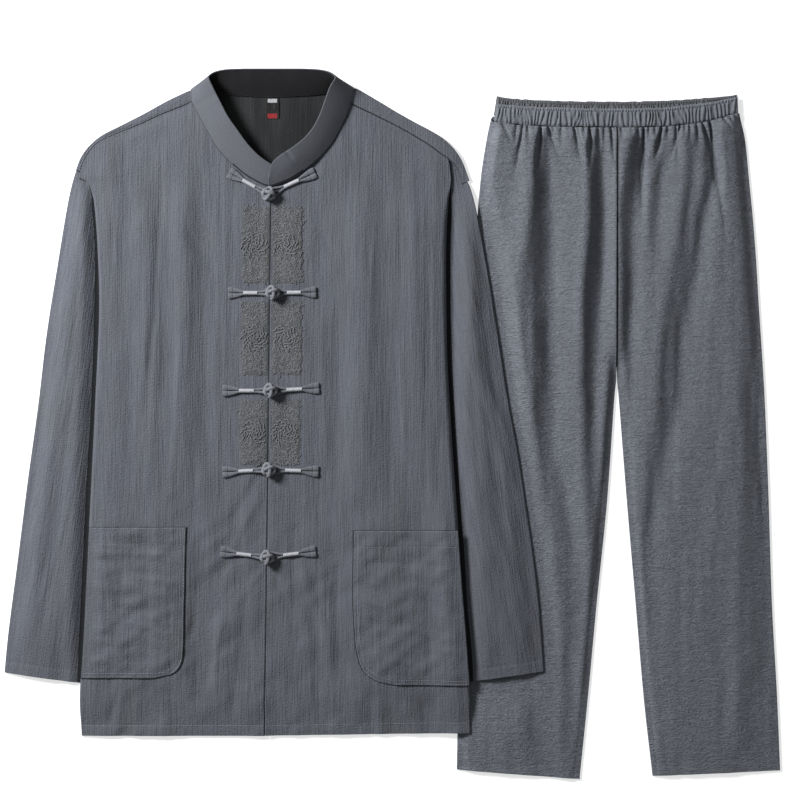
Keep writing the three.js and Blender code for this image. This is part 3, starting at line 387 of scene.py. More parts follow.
def hem_relief(below, rise, groove=0.3):
    """A hem's double layer and the groove of its stitching. below is the distance below that stitching."""
    return rise * ramp((below + 1.2) / 1.6) - groove * bell(below, 1.3)


def front_detail(x, y, inside):
    """Fine relief of the front panels: crinkle columns, the hem's double layer and placket creases."""
    calm = ramp(inside / 14) * ramp((SHOULDER_MIDDLE_Y - SHOULDER_SLOPE * np.abs(x) - y) / 30)
    columns = 0.3 * noise(x / 5.4 + 0.4 * noise(x / 40, y / 90, 3), y / 80, 1)
    columns = columns + 0.12 * noise(x / 3.1, y / 34, 2)
    bands = 0.75 * noise(x / 12 + 0.5 * noise(x / 60, y / 140, 8), y / 210, 4)
    slant = 1.1 * noise((x + 0.9 * y) / 30, (x - y) / 70, 7)
    slant = slant + 0.5 * noise((x - 1.3 * y) / 17, (x + y) / 60, 9)
    low = ramp((LOW_FRONT[0] - y) / LOW_FRONT[1])
    sag = 0.6 * noise(x / 30, y / 46, 5) + 0.35 * noise(x / 17 + y / 60, y / 24, 6)
    sag = sag + bands + slant * mix(0.3, 1, low)
    placket = 0
    for at, width, depth, low_y, low_run, high_y, high_run in PLACKET_CREASES:
        reach = ramp((y - low_y) / low_run) * ramp((high_y - y) / high_run)
        placket = placket - depth * bell(x - at, width) * reach
    broad = (sag * mix(1.0, 1.7, low) + CREASE_SCALE * crease_height(x, y)) * ramp(inside / 30)
    hem = hem_relief(HEM_DEPTH - y, 0.35, 0.35) * ramp(inside / 4)
    return calm * (columns + broad + placket) + hem


SIDE_BULGE = (3.4, 5.6)  # at the right and left side


def side_bulge(x, y):
    """How much higher than two plain layers the body's cloth stands at its sides, where it folds over."""
    most = np.where(x < 0, SIDE_BULGE[0], SIDE_BULGE[1])
    return most * ramp((712 - y) / 60) * ramp((np.abs(x) - 60) / 70) * mix(0.1, 1, ramp((y - 10) / 90))


JACKET_FOLD_SCALE = 1.45
LEAST_LOFT = 1.1  # how far the front stays above what it lies on
LOFT_BEND = 0.8  # how softly it bends where it would come closer


def front_under(x, y, fine=True):
    """The underside of the front panels."""
    inside = np.minimum(x - right_side(y), left_side(y) - x)
    below = SHOULDER_MIDDLE_Y - SHOULDER_SLOPE * np.abs(x) - y
    arch = ramp(inside / 40) * mix(0.4, 1, ramp(below / 60))
    hem = mix(0.45, 1, ramp(y / 60))
    plain = ramp((np.abs(x) - 56) / 20) * ramp(below / 50) * ramp(inside / 25)
    seam = mix(SEAM_GAP, 2 * SEAM_GAP, ramp((y - 690) / 20))
    height = body_lift(x, y) + WALL + seam + LOFT * arch * hem + side_bulge(x, y)
    if fine:
        height = height + JACKET_FOLD_SCALE * plain * fold_height(JACKET_FOLDS, x, y)
        height = height + front_detail(x, y, inside)
        room = ramp(inside / 30)
        lowest = body_lift(x, y) + WALL + seam + LEAST_LOFT * room
        loft = height - lowest
        height = lowest + (loft + np.sqrt(loft ** 2 + (LOFT_BEND * room) ** 2)) / 2
    return height


def front_top(x, y, fine=True):
    return front_under(x, y, fine) + WALL


# Meshes
def unit(v):
    length = np.linalg.norm(v, axis=-1, keepdims=True)
    return v / np.where(length > 1e-9, length, 1)


def make_object(name, points, faces, materials, indices=None, at=(0, 0)):
    """A smooth-shaded mesh object from millimetre points."""
    points = np.asarray(points, float) + np.array([at[0], at[1], 0.0])
    faces = [list(map(int, f)) for f in faces]
    mesh = bpy.data.meshes.new(name)
    mesh.from_pydata((points / 1000).tolist(), [], faces)
    for material in materials:
        mesh.materials.append(material)
    mesh.polygons.foreach_set("use_smooth", [True] * len(faces))
    if indices is not None:
        mesh.polygons.foreach_set("material_index", indices)
    mesh.update()
    obj = bpy.data.objects.new(name, mesh)
    bpy.context.collection.objects.link(obj)
    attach(obj, "root")
    return obj


def volume(points, faces):
    a, b, c = points[faces[:, 0]], points[faces[:, 1]], points[faces[:, 2]]
    d = points[faces[:, 3]]
    return np.sum(a * np.cross(b, c)) + np.sum(a * np.cross(c, d))


def grid_faces(rows, columns, start=0, wrap=False, flip=False):
    """Quads over a grid of points that is stored row by row."""
    r, c = np.meshgrid(np.arange(rows - 1), np.arange(columns if wrap else columns - 1), indexing="ij")
    near, far = c, (c + 1) % columns
    above = (r + 1) * columns
    corners = [r * columns + near, r * columns + far, above + far, above + near]
    quads = np.stack(corners, -1).reshape(-1, 4) + start
    return quads[:, ::-1] if flip else quads


RIM_ANGLES = np.radians([36, 72, 108, 144])


def shell_parts(outer, inner, wrap=False, rims=(1, 1, 1, 1)):
    """Points and quads of a closed wall between two grids of points. Its rims are rounded off by the
    factors for the first row, last column, last row and first column. wrap joins the last column to
    the first."""
    outer, inner = outer.copy(), inner.copy()
    rows, columns = outer.shape[:2]
    foot = [(0, c) for c in range(columns)]
    head = [(rows - 1, c) for c in range(columns - 1, -1, -1)]
    if wrap:
        loops = [foot, head]
    else:
        right = [(r, columns - 1) for r in range(1, rows - 1)]
        left = [(r, 0) for r in range(rows - 2, 0, -1)]
        loops = [foot + right + head + left]
    count = rows * columns
    rings, faces = [], []
    for loop in loops:
        r, c = np.array(loop).T
        out = np.zeros((len(loop), 3))
        factor = np.ones(len(loop)) * 9
        for at_rim, near, rim in (
            (r == 0, (np.minimum(r + 1, rows - 1), c), 0),
            (r == rows - 1, (np.maximum(r - 1, 0), c), 2),
            ((c == columns - 1) & (not wrap), (r, np.maximum(c - 1, 0)), 1),
            ((c == 0) & (not wrap), (r, np.minimum(c + 1, columns - 1)), 3),
        ):
            step = unit(outer[r, c] - outer[near])
            out += np.where(at_rim[:, None], step, 0)
            factor = np.where(at_rim, np.minimum(factor, rims[rim]), factor)
        out = unit(out)
        half = np.linalg.norm(outer[r, c] - inner[r, c], axis=-1, keepdims=True) / 2
        inset = out * half * factor[:, None]
        outer[r, c] -= inset
        inner[r, c] -= inset
        middle = (outer[r, c] + inner[r, c]) / 2
        ids = [r * columns + c]
        for angle in RIM_ANGLES:
            ring = middle + math.cos(angle) * (outer[r, c] - middle) + math.sin(angle) * inset
            ids.append(2 * count + sum(len(x) for x in rings) + np.arange(len(loop)))
            rings.append(ring)
        ids.append(count + r * columns + c)
        for upper, lower in zip(ids, ids[1:]):
            faces.append(np.stack([lower, np.roll(lower, -1), np.roll(upper, -1), upper], -1))
    faces.append(grid_faces(rows, columns, 0, wrap))
    faces.append(grid_faces(rows, columns, count, wrap, flip=True))
    points = np.concatenate([outer.reshape(-1, 3), inner.reshape(-1, 3), *rings])
    faces = np.concatenate(faces)
    if volume(points, faces) < 0:
        faces = faces[:, ::-1]
    return points, faces


def shade_line_paint(columns, row=None, column=None, rims=False):
    """Gives one row or column of a shell's upper grid, or its rims, the shell's second material: a dark
    painted shade along a seam or edge.
    """
    def paint(middles, faces, count):
        lowest, highest = faces.min(1), faces.max(1)
        on_top = highest < count
        chosen = np.zeros(len(faces), bool)
        if row is not None:
            chosen |= on_top & (lowest // columns == row)
        if column is not None:
            chosen |= on_top & (lowest % columns == column)
        if rims:
            chosen |= highest >= 2 * count
        return np.where(chosen, 1, 0)

    return paint


def shell(name, outer, inner, materials, at, wrap=False, rims=(1, 1, 1, 1), paint=None):
    points, faces = shell_parts(outer, inner, wrap, rims)
    indices = None if paint is None else paint(points[faces].mean(1), faces, outer.shape[0] * outer.shape[1])
    return make_object(name, points, faces, materials, indices, at)


def offset(outer, thickness, sign=1):
    """The inner face of a sheet, set off along the surface's own normals."""
    up = np.gradient(outer, axis=0)
    across = np.gradient(outer, axis=1)
    return outer - sign * thickness * unit(np.cross(across, up))


def stack(x, y, z):
    return np.stack(np.broadcast_arrays(x, y, z), -1).astype(float)


def rows_of(foot, head, step, *extra):
    """Evenly spaced rows with a few extra ones."""
    even = np.linspace(foot, head, max(2, int(round((head - foot) / step)) + 1))
    more = np.array([e for e in extra if foot < e < head])
    rows = np.unique(np.concatenate([even, more]).round(3))
    keep = np.concatenate([[True], np.diff(rows) > 0.35])
    return rows[keep]


def hem_rows(foot, depth):
    return [foot + d for d in (0.7, 1.6, 3, depth - 2.2, depth - 1.1, depth, depth + 1.1, depth + 2.2)]


def tube(path, width, height, across=None, sides=10, closed=False):
    """A swept tube of elliptical section along a path of points. across gives the direction of each
    section's width."""
    path = np.asarray(path, float)
    n = len(path)
    if closed:
        run = unit(np.roll(path, -1, 0) - np.roll(path, 1, 0))
    else:
        run = unit(np.gradient(path, axis=0))
    if across is None:
        across = unit(np.cross(np.tile([0, 0, 1.0], (n, 1)), run))
    across = unit(across - run * np.sum(across * run, -1, keepdims=True))
    up = np.cross(run, across)
    angle = np.linspace(0, 2 * np.pi, sides, endpoint=False)
    width, height = np.broadcast_to(width, n), np.broadcast_to(height, n)
    rings = (
        path[:, None]
        + across[:, None] * (np.cos(angle)[None, :, None] * width[:, None, None] / 2)
        + up[:, None] * (np.sin(angle)[None, :, None] * height[:, None, None] / 2)
    )
    points = rings.reshape(-1, 3)
    if closed:
        rings = np.concatenate([rings, rings[:1]])
        faces = grid_faces(n + 1, sides, 0, True) % (n * sides)
        return points, faces.tolist()
    faces = grid_faces(n, sides, 0, True).tolist()
    caps = [list(range(sides))[::-1], list(range((n - 1) * sides, n * sides))]
    return points, faces + caps


def joined(parts):
    """Several (points, faces) pairs as one."""
    points, faces, start = [], [], 0
    for p, f in parts:
        points.append(p)
        faces.extend([[i + start for i in face] for face in f])
        start += len(p)
    return np.concatenate(points), faces


# Materials
def node(tree, kind, inputs=None, **settings):
    made = tree.nodes.new(kind)
    for key, value in settings.items():
        setattr(made, key, value)
    for key, value in (inputs or {}).items():
        if isinstance(value, bpy.types.NodeSocket):
            tree.links.new(value, made.inputs[key])
        else:
            made.inputs[key].default_value = value
    return made


def mixed(tree, share, first, second):
    """The colour socket of a mix of two colours."""
    return node(tree, "ShaderNodeMix", {0: share, 6: first, 7: second}, data_type="RGBA").outputs[2]


def computed(tree, operation, *values):
    return node(tree, "ShaderNodeMath", dict(enumerate(values)), operation=operation).outputs[0]


def linear(r, g, b):
    """A colour of the screen's values from 0 to 255 as the shader wants it."""
    def one(v):
        v = v / 255
        return v / 12.92 if v <= 0.04045 else ((v + 0.055) / 1.055) ** 2.4
    return (one(r), one(g), one(b), 1.0)


def base_material(name, roughness, sheen=0.0):
    material = bpy.data.materials.new(name)
    material.use_nodes = True
    tree = material.node_tree
    shader = tree.nodes["Principled BSDF"]
    shader.inputs["Roughness"].default_value = roughness
    shader.inputs["Sheen Weight"].default_value = sheen
    shader.inputs["Sheen Roughness"].default_value = 0.5
    shader.inputs["Specular IOR Level"].default_value = 0.25
    return material, tree, shader


def stretched_noise(tree, place, size, seed, detail=2.0, distortion=0.0):
    """Noise whose grains are about size = (x, y, z) millimetres."""
    scale = tuple(1000 / s for s in size)
    start = (seed, seed * 0.7, 0)
    mapped = node(tree, "ShaderNodeMapping", {"Vector": place, "Scale": scale, "Location": start})
    made = node(tree, "ShaderNodeTexNoise", {
        "Vector": mapped.outputs[0], "Scale": 1.0, "Detail": detail, "Distortion": distortion})
    return made.outputs["Fac"]


WAVE_PERIOD = 314.2  # millimetres from band to band of a wave texture of scale 1


def weave(tree, place, pitch):
    """A plain weave's height: two crossed sets of threads."""
    heights = []
    for direction in ("X", "Y"):
        wave = node(
            tree, "ShaderNodeTexWave",
            {
                "Vector": place, "Scale": WAVE_PERIOD / pitch,
                "Distortion": 1.2, "Detail": 1.0, "Detail Scale": 0.4,
            },
            wave_type="BANDS", bands_direction=direction,
        )
        heights.append(wave.outputs["Fac"])
    return computed(tree, "MULTIPLY", *heights)


def mapped_range(tree, value, low, high, to_low=0.0, to_high=1.0):
    inputs = {"Value": value, "From Min": low, "From Max": high, "To Min": to_low, "To Max": to_high}
    return node(tree, "ShaderNodeMapRange", inputs).outputs[0]


BROAD_SHARE = 0.5
WARM_TONE = (94, 96, 93)  # where the grey fades towards brown


def cloth_material(name, dark, light, grain, crepe, depth, turn=0.0, mottle=0.3, cross=1.0, bend=0.0):
    """Crinkled cloth. grain is the width and length of its long crinkles in millimetres, crepe that of
    the short ones across them, and depth the relief."""
    material, tree, shader = base_material(name, 0.88, 0.08)
    coordinates = node(tree, "ShaderNodeTexCoord").outputs["Object"]
    place = node(tree, "ShaderNodeMapping", {"Vector": coordinates, "Rotation": (0, 0, turn)}).outputs[0]
    across, along = grain
    fine = stretched_noise(tree, place, (across, along, 8), 3.1, 2.0, bend)
    broad = stretched_noise(tree, place, (across * 2.7, along * 1.6, 20), 7.7, 1.5, bend)
    crossing = stretched_noise(tree, place, (*crepe, 8), 5.9, 2.5, bend)
    patches = stretched_noise(tree, place, (26, 110, 60), 1.3, 1.0)
    threads = weave(tree, place, 1.15)
    height = computed(tree, "MULTIPLY_ADD", broad, BROAD_SHARE, fine)
    height = computed(tree, "MULTIPLY_ADD", crossing, cross, height)
    crinkle = node(tree, "ShaderNodeBump", {"Height": height, "Strength": 1.0, "Distance": depth / 1000})
    woven = node(
        tree, "ShaderNodeBump",
        {"Height": threads, "Strength": 0.7, "Distance": 0.00014, "Normal": crinkle.outputs[0]},
    )
    middle = (1 + BROAD_SHARE + cross) / 2
    # The colour follows the relief: darker in its hollows and lighter on its crests, a painted shade.
    shade = mapped_range(tree, height, middle - 0.42, middle + 0.36)
    tone = mixed(tree, shade, linear(*dark), linear(*light))
    blotch = mapped_range(tree, patches, 0.45, 0.75, 0.0, mottle)
    colour = mixed(tree, blotch, tone, linear(*WARM_TONE))
    tree.links.new(colour, shader.inputs["Base Color"])
    tree.links.new(woven.outputs[0], shader.inputs["Normal"])
    return material


def thread_material(name, dark, light, roughness, pitch=0.45, sheen=0.2, depth=0.12):
    """Cord, embroidery or sewing thread: fine twisted strands with a little sheen."""
    material, tree, shader = base_material(name, roughness, sheen)
    place = node(tree, "ShaderNodeTexCoord").outputs["Object"]
    turned = node(tree, "ShaderNodeMapping", {"Vector": place, "Rotation": (0, 0, 0.7)}).outputs[0]
    strands = weave(tree, turned, pitch)
    grains = stretched_noise(tree, place, (1.6, 1.6, 1.6), 2.2, 2.0)
    tone = mixed(tree, grains, linear(*dark), linear(*light))
    bump = node(tree, "ShaderNodeBump", {"Height": strands, "Strength": 0.8, "Distance": depth / 1000})
    tree.links.new(tone, shader.inputs["Base Color"])
    tree.links.new(bump.outputs[0], shader.inputs["Normal"])
    return material


SLEEVE_LEAN = math.radians(7.5)
JACKET_TONES = ((88, 91, 99), (103, 106, 115))
JACKET_WEAVE = ((1.5, 42), (3.0, 1.5), 1.0)
jacket_cloth = cloth_material("jacket_cloth", *JACKET_TONES, *JACKET_WEAVE)
right_sleeve_cloth = cloth_material("right_sleeve_cloth", *JACKET_TONES, *JACKET_WEAVE, SLEEVE_LEAN)
left_sleeve_cloth = cloth_material("left_sleeve_cloth", *JACKET_TONES, *JACKET_WEAVE, -SLEEVE_LEAN)
collar_cloth = cloth_material(
    "collar_cloth", (88, 90, 97), (98, 101, 108), (1.3, 1.6), (1.7, 1.2), 0.2, 0.6, mottle=0.1)
trouser_cloth = cloth_material(
    "trouser_cloth", (107, 110, 118), (133, 137, 146), (9, 2.3), (3.5, 1.8), 2.3, mottle=0.15, bend=1.2)
BAND_WEAVE = ((6, 2), (2, 1.4), 0.6)
band_cloth = cloth_material("band_cloth", (110, 113, 121), (126, 130, 138), *BAND_WEAVE, bend=0.5)
# Painted shade: a darker copy of the band cloth for the back half, which lies lower and inside.
band_inside_painted_shade = cloth_material("band_inside_painted_shade", (88, 90, 95), (106, 108, 114), *BAND_WEAVE, bend=0.5)
# Painted shade: a near-black copy of the cloth for the back's inner face under the collar.
inside_painted_shade = cloth_material("inside_painted_shade", (29, 30, 32), (42, 43, 46), (1.8, 60), (2.8, 1.3), 0.7)
# Painted shade: a near-black copy of the cloth for seam lines, edges and the gaps between parts.
painted_seam_shade = cloth_material("painted_seam_shade", (28, 29, 32), (40, 41, 45), (1.8, 8), (2, 1.3), 0.3, mottle=0.05)
# Painted shade: a near-black cloth for the collar's inner face.
collar_inside_painted_shade = cloth_material(
    "collar_inside_painted_shade", (27, 27, 29), (36, 36, 39), (1.6, 1.6), (1.7, 1.2), 0.1, mottle=0.05)
# Columns: name, dark and light tone, roughness, pitch, sheen, depth of the strands.
(
    cord_cloth, knot_painted_light, knot_gap_painted_shade, silver_thread, embroidery_thread, embroidery_ground_and_shade,
    sewing_thread, black_satin, grey_satin, red_satin,
) = [thread_material(*row) for row in (
    ("cord_cloth", (88, 90, 97), (116, 118, 126), 0.7, 0.9),
    # painted light: a lighter copy of the cord for the knot's strands
    ("knot_painted_light", (106, 108, 115), (140, 142, 149), 0.65, 0.9),
    # painted shade: a dark copy of the cord for the knot's core, seen between its strands
    ("knot_gap_painted_shade", (52, 53, 57), (68, 69, 74), 0.7, 0.9),
    ("silver_thread", (158, 160, 166), (205, 207, 212), 0.35, 0.5, 0.3),
    ("embroidery_thread", (90, 92, 95), (116, 118, 122), 0.5, 0.5, 0.35),
    # the ground's thread, darker partly as painted shade between the raised strokes
    ("embroidery_ground_and_shade", (74, 76, 79), (94, 96, 99), 0.6, 0.9, 0.2, 0.3),
    ("sewing_thread", (126, 129, 137), (154, 157, 164), 0.6, 0.3),
    ("black_satin", (10, 10, 11), (22, 22, 24), 0.45, 0.4),
    ("grey_satin", (150, 151, 154), (190, 191, 195), 0.45, 0.4),
    ("red_satin", (120, 20, 24), (168, 36, 40), 0.45, 0.4),
)]

ROLL = WALL + SEAM_GAP / 2  # radius of the fold where a top layer turns down to meet the one below
ROLL_STEPS = 5
FRONT_ROLL_STEPS = 8


def rolled(start, top, out, turn, radius, length):
    """Points along a strip that curls down from (start, top) towards out, and the angle at each.
    turn is how much of a quarter circle the curl makes; length is from 0 to 1 along the strip."""
    turn = np.maximum(turn, 1e-3)
    angle = turn * length * math.pi / 2
    x = start + out * (radius / turn) * np.sin(angle)
    z = top - (radius / turn) * (1 - np.cos(angle))
    return x, z, angle


def hem_slant(x, y, out):
    """How much lower the left front's hem hangs towards the centre front than at its side."""
    return 3.8 * clamp01(1 - y / 200) * clamp01(1 - x / 250) * (out > 0)


FRONT_COLUMNS = np.append(np.linspace(0, 0.994, 91), 1)  # the last one is the narrow seam line, painted dark as shade on the right front


def front(name, outline, out):
    """A front panel, whose side edge curls down to the back panel. out is -1 on the right."""
    side, edge = curve(outline, 1), curve(outline, 2)
    foot, head = outline[0][0], outline[-1][0]
    lower = rows_of(foot, 698, 6, *hem_rows(foot, HEM_DEPTH))
    y = np.concatenate([lower, np.linspace(700, head, 50)])[:, None]
    turn = ramp((700 - y) / 14)
    radius = ROLL + side_bulge(side(y), y)
    start = side(y) - out * mix(math.pi / 2, 1, turn) * radius
    length = np.linspace(0.985, 0, FRONT_ROLL_STEPS + 1)[None, :-1]
    x_flat = mix(start, edge(y), FRONT_COLUMNS[None, :])
    lip = 0.6 * ramp((7 - np.abs(x_flat - edge(y))) / 5) * ramp((702 - y) / 5) * (out > 0)
    y_flat = y - hem_slant(x_flat, y, out)
    z_flat = front_top(x_flat, y_flat) + lip
    x_roll, z_roll, angle = rolled(start, z_flat[:, :1], out, turn, radius, length)
    outer = np.concatenate([stack(x_roll, y, z_roll), stack(x_flat, y_flat, z_flat)], 1)
    tilt = np.concatenate([angle, np.zeros_like(x_flat)], 1)
    inner = outer - WALL * stack(out * np.sin(tilt), np.zeros_like(tilt), np.cos(tilt))
    # On the right front, the narrow column at the centre front edge is painted dark: painted shade in the
    # seam.
    paint = shade_line_paint(outer.shape[1], column=outer.shape[1] - 2) if out < 0 else None
    return shell(name, outer, inner, [jacket_cloth, painted_seam_shade], JACKET_AT, rims=(1, 1, 1, 0), paint=paint)


NECK = (5, 821, 90, 9)  # middle x, middle y, half width and rise of the back's neckline
SHOULDER_START = (100, 823, 0.46, 1.2)  # distance out, y, and slopes outside and inside of it


def neck_edge(x):
    out = np.abs(x - NECK[0])
    neckline = NECK[1] + NECK[3] * (out / NECK[2]) ** 2
    past = out - SHOULDER_START[0]
    slope = np.where(past > 0, SHOULDER_START[2], SHOULDER_START[3])
    return np.minimum(neckline, SHOULDER_START[1] - slope * past)


def jacket_back():
    upper_right, upper_left = curve(BACK_ABOVE_ARMHOLES, 1), curve(BACK_ABOVE_ARMHOLES, 2)
    lower = rows_of(0, 698, 12, *hem_rows(0, HEM_DEPTH))
    level = np.concatenate([lower, np.linspace(700, 821, 48)])[:, None]
    above = ramp((level - 712) / 4)
    right = np.where(level < 712, right_side(level), mix(right_side(716), upper_right(level), above))
    left = np.where(level < 712, left_side(level), mix(left_side(716), upper_left(level), above))
    turn = ramp((700 - level) / 14)
    pull = mix(math.pi / 2, 1, turn) * ROLL
    length = np.linspace(0.985, 0, ROLL_STEPS + 1)[None, :-1]
    x_flat = mix(right + pull, left - pull, np.linspace(0, 1, 88)[None, :])
    side_y = np.minimum(level, ARMHOLE_Y)
    free = ramp((left_side(side_y) - x_flat) / 60) * ramp((x_flat - right_side(side_y)) / 60)
    free = free * ramp(level / 40) * ramp((800 - level) / 60)
    crinkle = 0.5 * ramp(noise(x_flat / 16, level / 120, 11) * 1.5)
    crinkle = crinkle + 0.18 * (1 + noise(x_flat / 4, level / 70, 12))
    lift = body_lift(x_flat, level) + free * crinkle
    right_x, right_z, right_angle = rolled(right + pull, -lift[:, :1], -1, turn, ROLL, length)
    left_x, left_z, left_angle = rolled(left - pull, -lift[:, -1:], 1, turn, ROLL, length[:, ::-1])
    x = np.concatenate([right_x, x_flat, left_x], 1)
    z = np.concatenate([-right_z, lift, -left_z], 1)
    tilt = np.concatenate([-right_angle, np.zeros_like(x_flat), left_angle], 1)
    u = (x - x[:, :1]) / (x[:, -1:] - x[:, :1])
    hem_rise = 4 * clamp01(2 * u - 1) * clamp01(1 - level / 200)
    to_neck = mix(797, neck_edge(x), clamp01((level - 797) / 24))
    y = np.where(level > 797, to_neck, level + hem_rise)
    outer = stack(x, y, z)
    inner = outer + WALL * stack(-np.sin(tilt), np.zeros_like(tilt), np.cos(tilt))

    # The back's inner face, seen through the neck, takes the near-black copy: painted shade under the collar.
    def paint(middles, faces, count):
        return np.where((faces.min(1) >= count) & (faces.max(1) < 2 * count), 1, 0)

    return shell("jacket_back_cloth", outer, inner, [jacket_cloth, inside_painted_shade], JACKET_AT,
                 rims=(1, 0, 1, 0), paint=paint)


def shoulder(name, table, side, from_right):
    """The back's cloth, rolled over the top of a shoulder and forward to its seam."""
    index = [
        (i, float(side(seam_y)) if seam_x is None else seam_x, seam_y, *fold)
        for i, (seam_x, seam_y, *fold) in enumerate(table)
    ]
    on_edge = [i for i, row in enumerate(table) if row[0] is None]
    s = np.linspace(0, len(table) - 1, 110)[:, None]
    seam_x, seam_y, fold_x, fold_y = (curve(index, k)(s) for k in (1, 2, 3, 4))
    seam_x = np.where((s >= on_edge[0]) & (s <= on_edge[-1]), side(seam_y), seam_x)
    run = np.hypot(fold_x - seam_x, fold_y - seam_y)
    out_x, out_y = (fold_x - seam_x) / run, (fold_y - seam_y) / run
    top = front_top(seam_x, seam_y, False)
    radius = (top - body_lift(seam_x, seam_y) - SEAM_GAP) / 2
    base = body_lift(fold_x, fold_y) + SEAM_GAP
    t = np.linspace(0, 1, 12)[None, :]
    reach = SEAM_GAP + (run - radius - SEAM_GAP) * t
    groove = -0.5 * bell(reach - 2.4, 0.8)
    puff = 0.35 * np.sin(math.pi * t) * (1 + 0.6 * noise(s * 4, t * 3, 21))
    flat_z = mix(top, base + 2 * radius, ramp(t)) + groove + puff
    angle = np.radians(np.linspace(90, -78, 15)[1:])[None, :]
    reach = np.concatenate([reach, run - radius * (1 - np.cos(angle))], 1)
    z = np.concatenate([flat_z, base + radius + radius * np.sin(angle)], 1)
    # An end that lies on the sleeve is pressed down to it.
    z = base + (z - base) * mix(1, 0.3, ramp((s - on_edge[-1]) / 1.6))
    outer = stack(seam_x + out_x * reach, seam_y + out_y * reach, z)
    inner = offset(outer, WALL, 1 if from_right else -1)
    # The first column along the shoulder seam is painted dark: painted shade in the seam.
    paint = shade_line_paint(outer.shape[1], column=0)
    materials = [jacket_cloth, painted_seam_shade]
    return shell(name, outer, inner, materials, JACKET_AT, rims=(1, 0.3, 1, 0.3), paint=paint)


CUFF_DEPTH = 14
FOLD_REACH = 15.6  # how far from its inner edge a sleeve's cloth lies deep beside the body
FLAT_COLUMNS = 41
DEEP_COLUMNS = 6


def sleeve(name, table, lift, material, loft_height, shelf, seed):
    """A sleeve laid flat: one tube that folds over at both its edges."""
    outer_edge, inner_edge, drop = (curve(table, k) for k in (1, 2, 3))
    foot, head = table[0][0], table[-1][0]
    side = 1 if table[0][2] > table[0][1] else -1
    level = rows_of(foot, head, 5, *hem_rows(foot, CUFF_DEPTH))[:, None]
    x_out, x_in = outer_edge(level), inner_edge(level)
    start, end = x_out + side * ROLL, x_in - side * ROLL
    fold_x = x_in - side * np.minimum(FOLD_REACH, 0.33 * np.abs(x_in - x_out))
    x_top = np.concatenate([
        mix(start, fold_x, np.linspace(0, 1, FLAT_COLUMNS + 1)[None, :-1]),
        mix(fold_x, end, np.linspace(0, 1, DEEP_COLUMNS)[None, :]),
    ], 1)
    x_low = mix(end, start, np.linspace(0, 1, 30)[None, :])
    turn = np.radians(np.linspace(0, 180, 9)[1:-1])[None, :]

    def arch(x):
        calm = ramp((head - 30 - level) / 60)
        from_outer = ramp(np.abs(x - x_out) / 30)
        rise = clamp01((np.abs(x - x_in) - 13.5 - shelf) / 19)
        from_inner = mix(rise * (2 - rise), ramp(rise), 0.25)
        from_ends = mix(0.45, 1, ramp((level - foot) / 70)) * mix(0.12, 1, calm)
        return from_outer * from_inner * from_ends, calm

    def top_z(x):
        loft, calm = arch(x)
        folded = ramp(np.abs(x - x_out) / 22) * ramp((np.abs(x - x_in) - 22) / 22) * calm
        free = ramp(np.abs(x - x_out) / 10) * ramp((np.abs(x - x_in) - 14) / 12)
        free = free * ramp((head - 10 - level) / 30)
        skew = (x - x_out) - 0.13 * (level - foot) * side
        fine = 0.3 * noise(skew / 5.4, level / 70, seed) + 0.12 * noise(skew / 2.8, level / 28, seed + 1)
        fine = fine + 1.1 * noise(skew / 17 + level / 120, level / 110, seed + 2)
        fine = fine + 0.6 * noise((x + side * 0.5 * level) / 20, (level - x) / 60, seed + 4)
        below = CUFF_DEPTH - (level - foot)
        hem = 0.3 * ramp((below + 1) / 1.6) - 0.35 * bell(below, 1.3)
        edge = ramp(np.abs(x - x_out) / 4) * ramp((np.abs(x - x_in) - 8) / 6)
        plain = lift(x, level) + 2 * WALL + SEAM_GAP + loft_height * loft
        return plain + fold_height(SLEEVE_FOLDS, x, level) * folded + fine * free + hem * edge

    def low_z(x):
        loft, _ = arch(x)
        sag = 0.7 * (1 + noise(x / 14, level / 90, seed + 3))
        return lift(x, level) + loft * sag * ramp((level - foot) / 30)

    lift_in, lift_out = lift(end, level), lift(start, level)
    bulge = side * np.sin(turn)
    x = np.concatenate([x_top, end + ROLL * bulge, x_low, start - ROLL * bulge], 1)
    z_in, z_out = lift_in + ROLL + ROLL * np.cos(turn), lift_out + ROLL - ROLL * np.cos(turn)
    z = np.concatenate([top_z(x_top), z_in, low_z(x_low), z_out], 1)
    zero = np.zeros_like(level)
    normal_x = np.concatenate([x_top * 0, zero + bulge, x_low * 0, zero - bulge], 1)
    normal_z = np.concatenate([x_top * 0 + 1, zero + np.cos(turn), x_low * 0 - 1, zero - np.cos(turn)], 1)
    y = level - drop(level) * (x - x_out) / (x_in - x_out)
    outer = stack(x, y, z)
    inner = outer - WALL * stack(normal_x, np.zeros_like(x), normal_z)

    # The columns that lie deep beside the body are painted near black: painted shade in the gap under the
    # body's edge.
    def paint(middles, faces, count):
        column = faces.min(1) % outer.shape[1]
        deep = (column >= FLAT_COLUMNS) & (column < FLAT_COLUMNS + DEEP_COLUMNS - 1)
        return np.where((faces.max(1) < count) & deep, 1, 0)

    return shell(name, outer, inner, [material, painted_seam_shade], JACKET_AT, wrap=True, paint=paint)


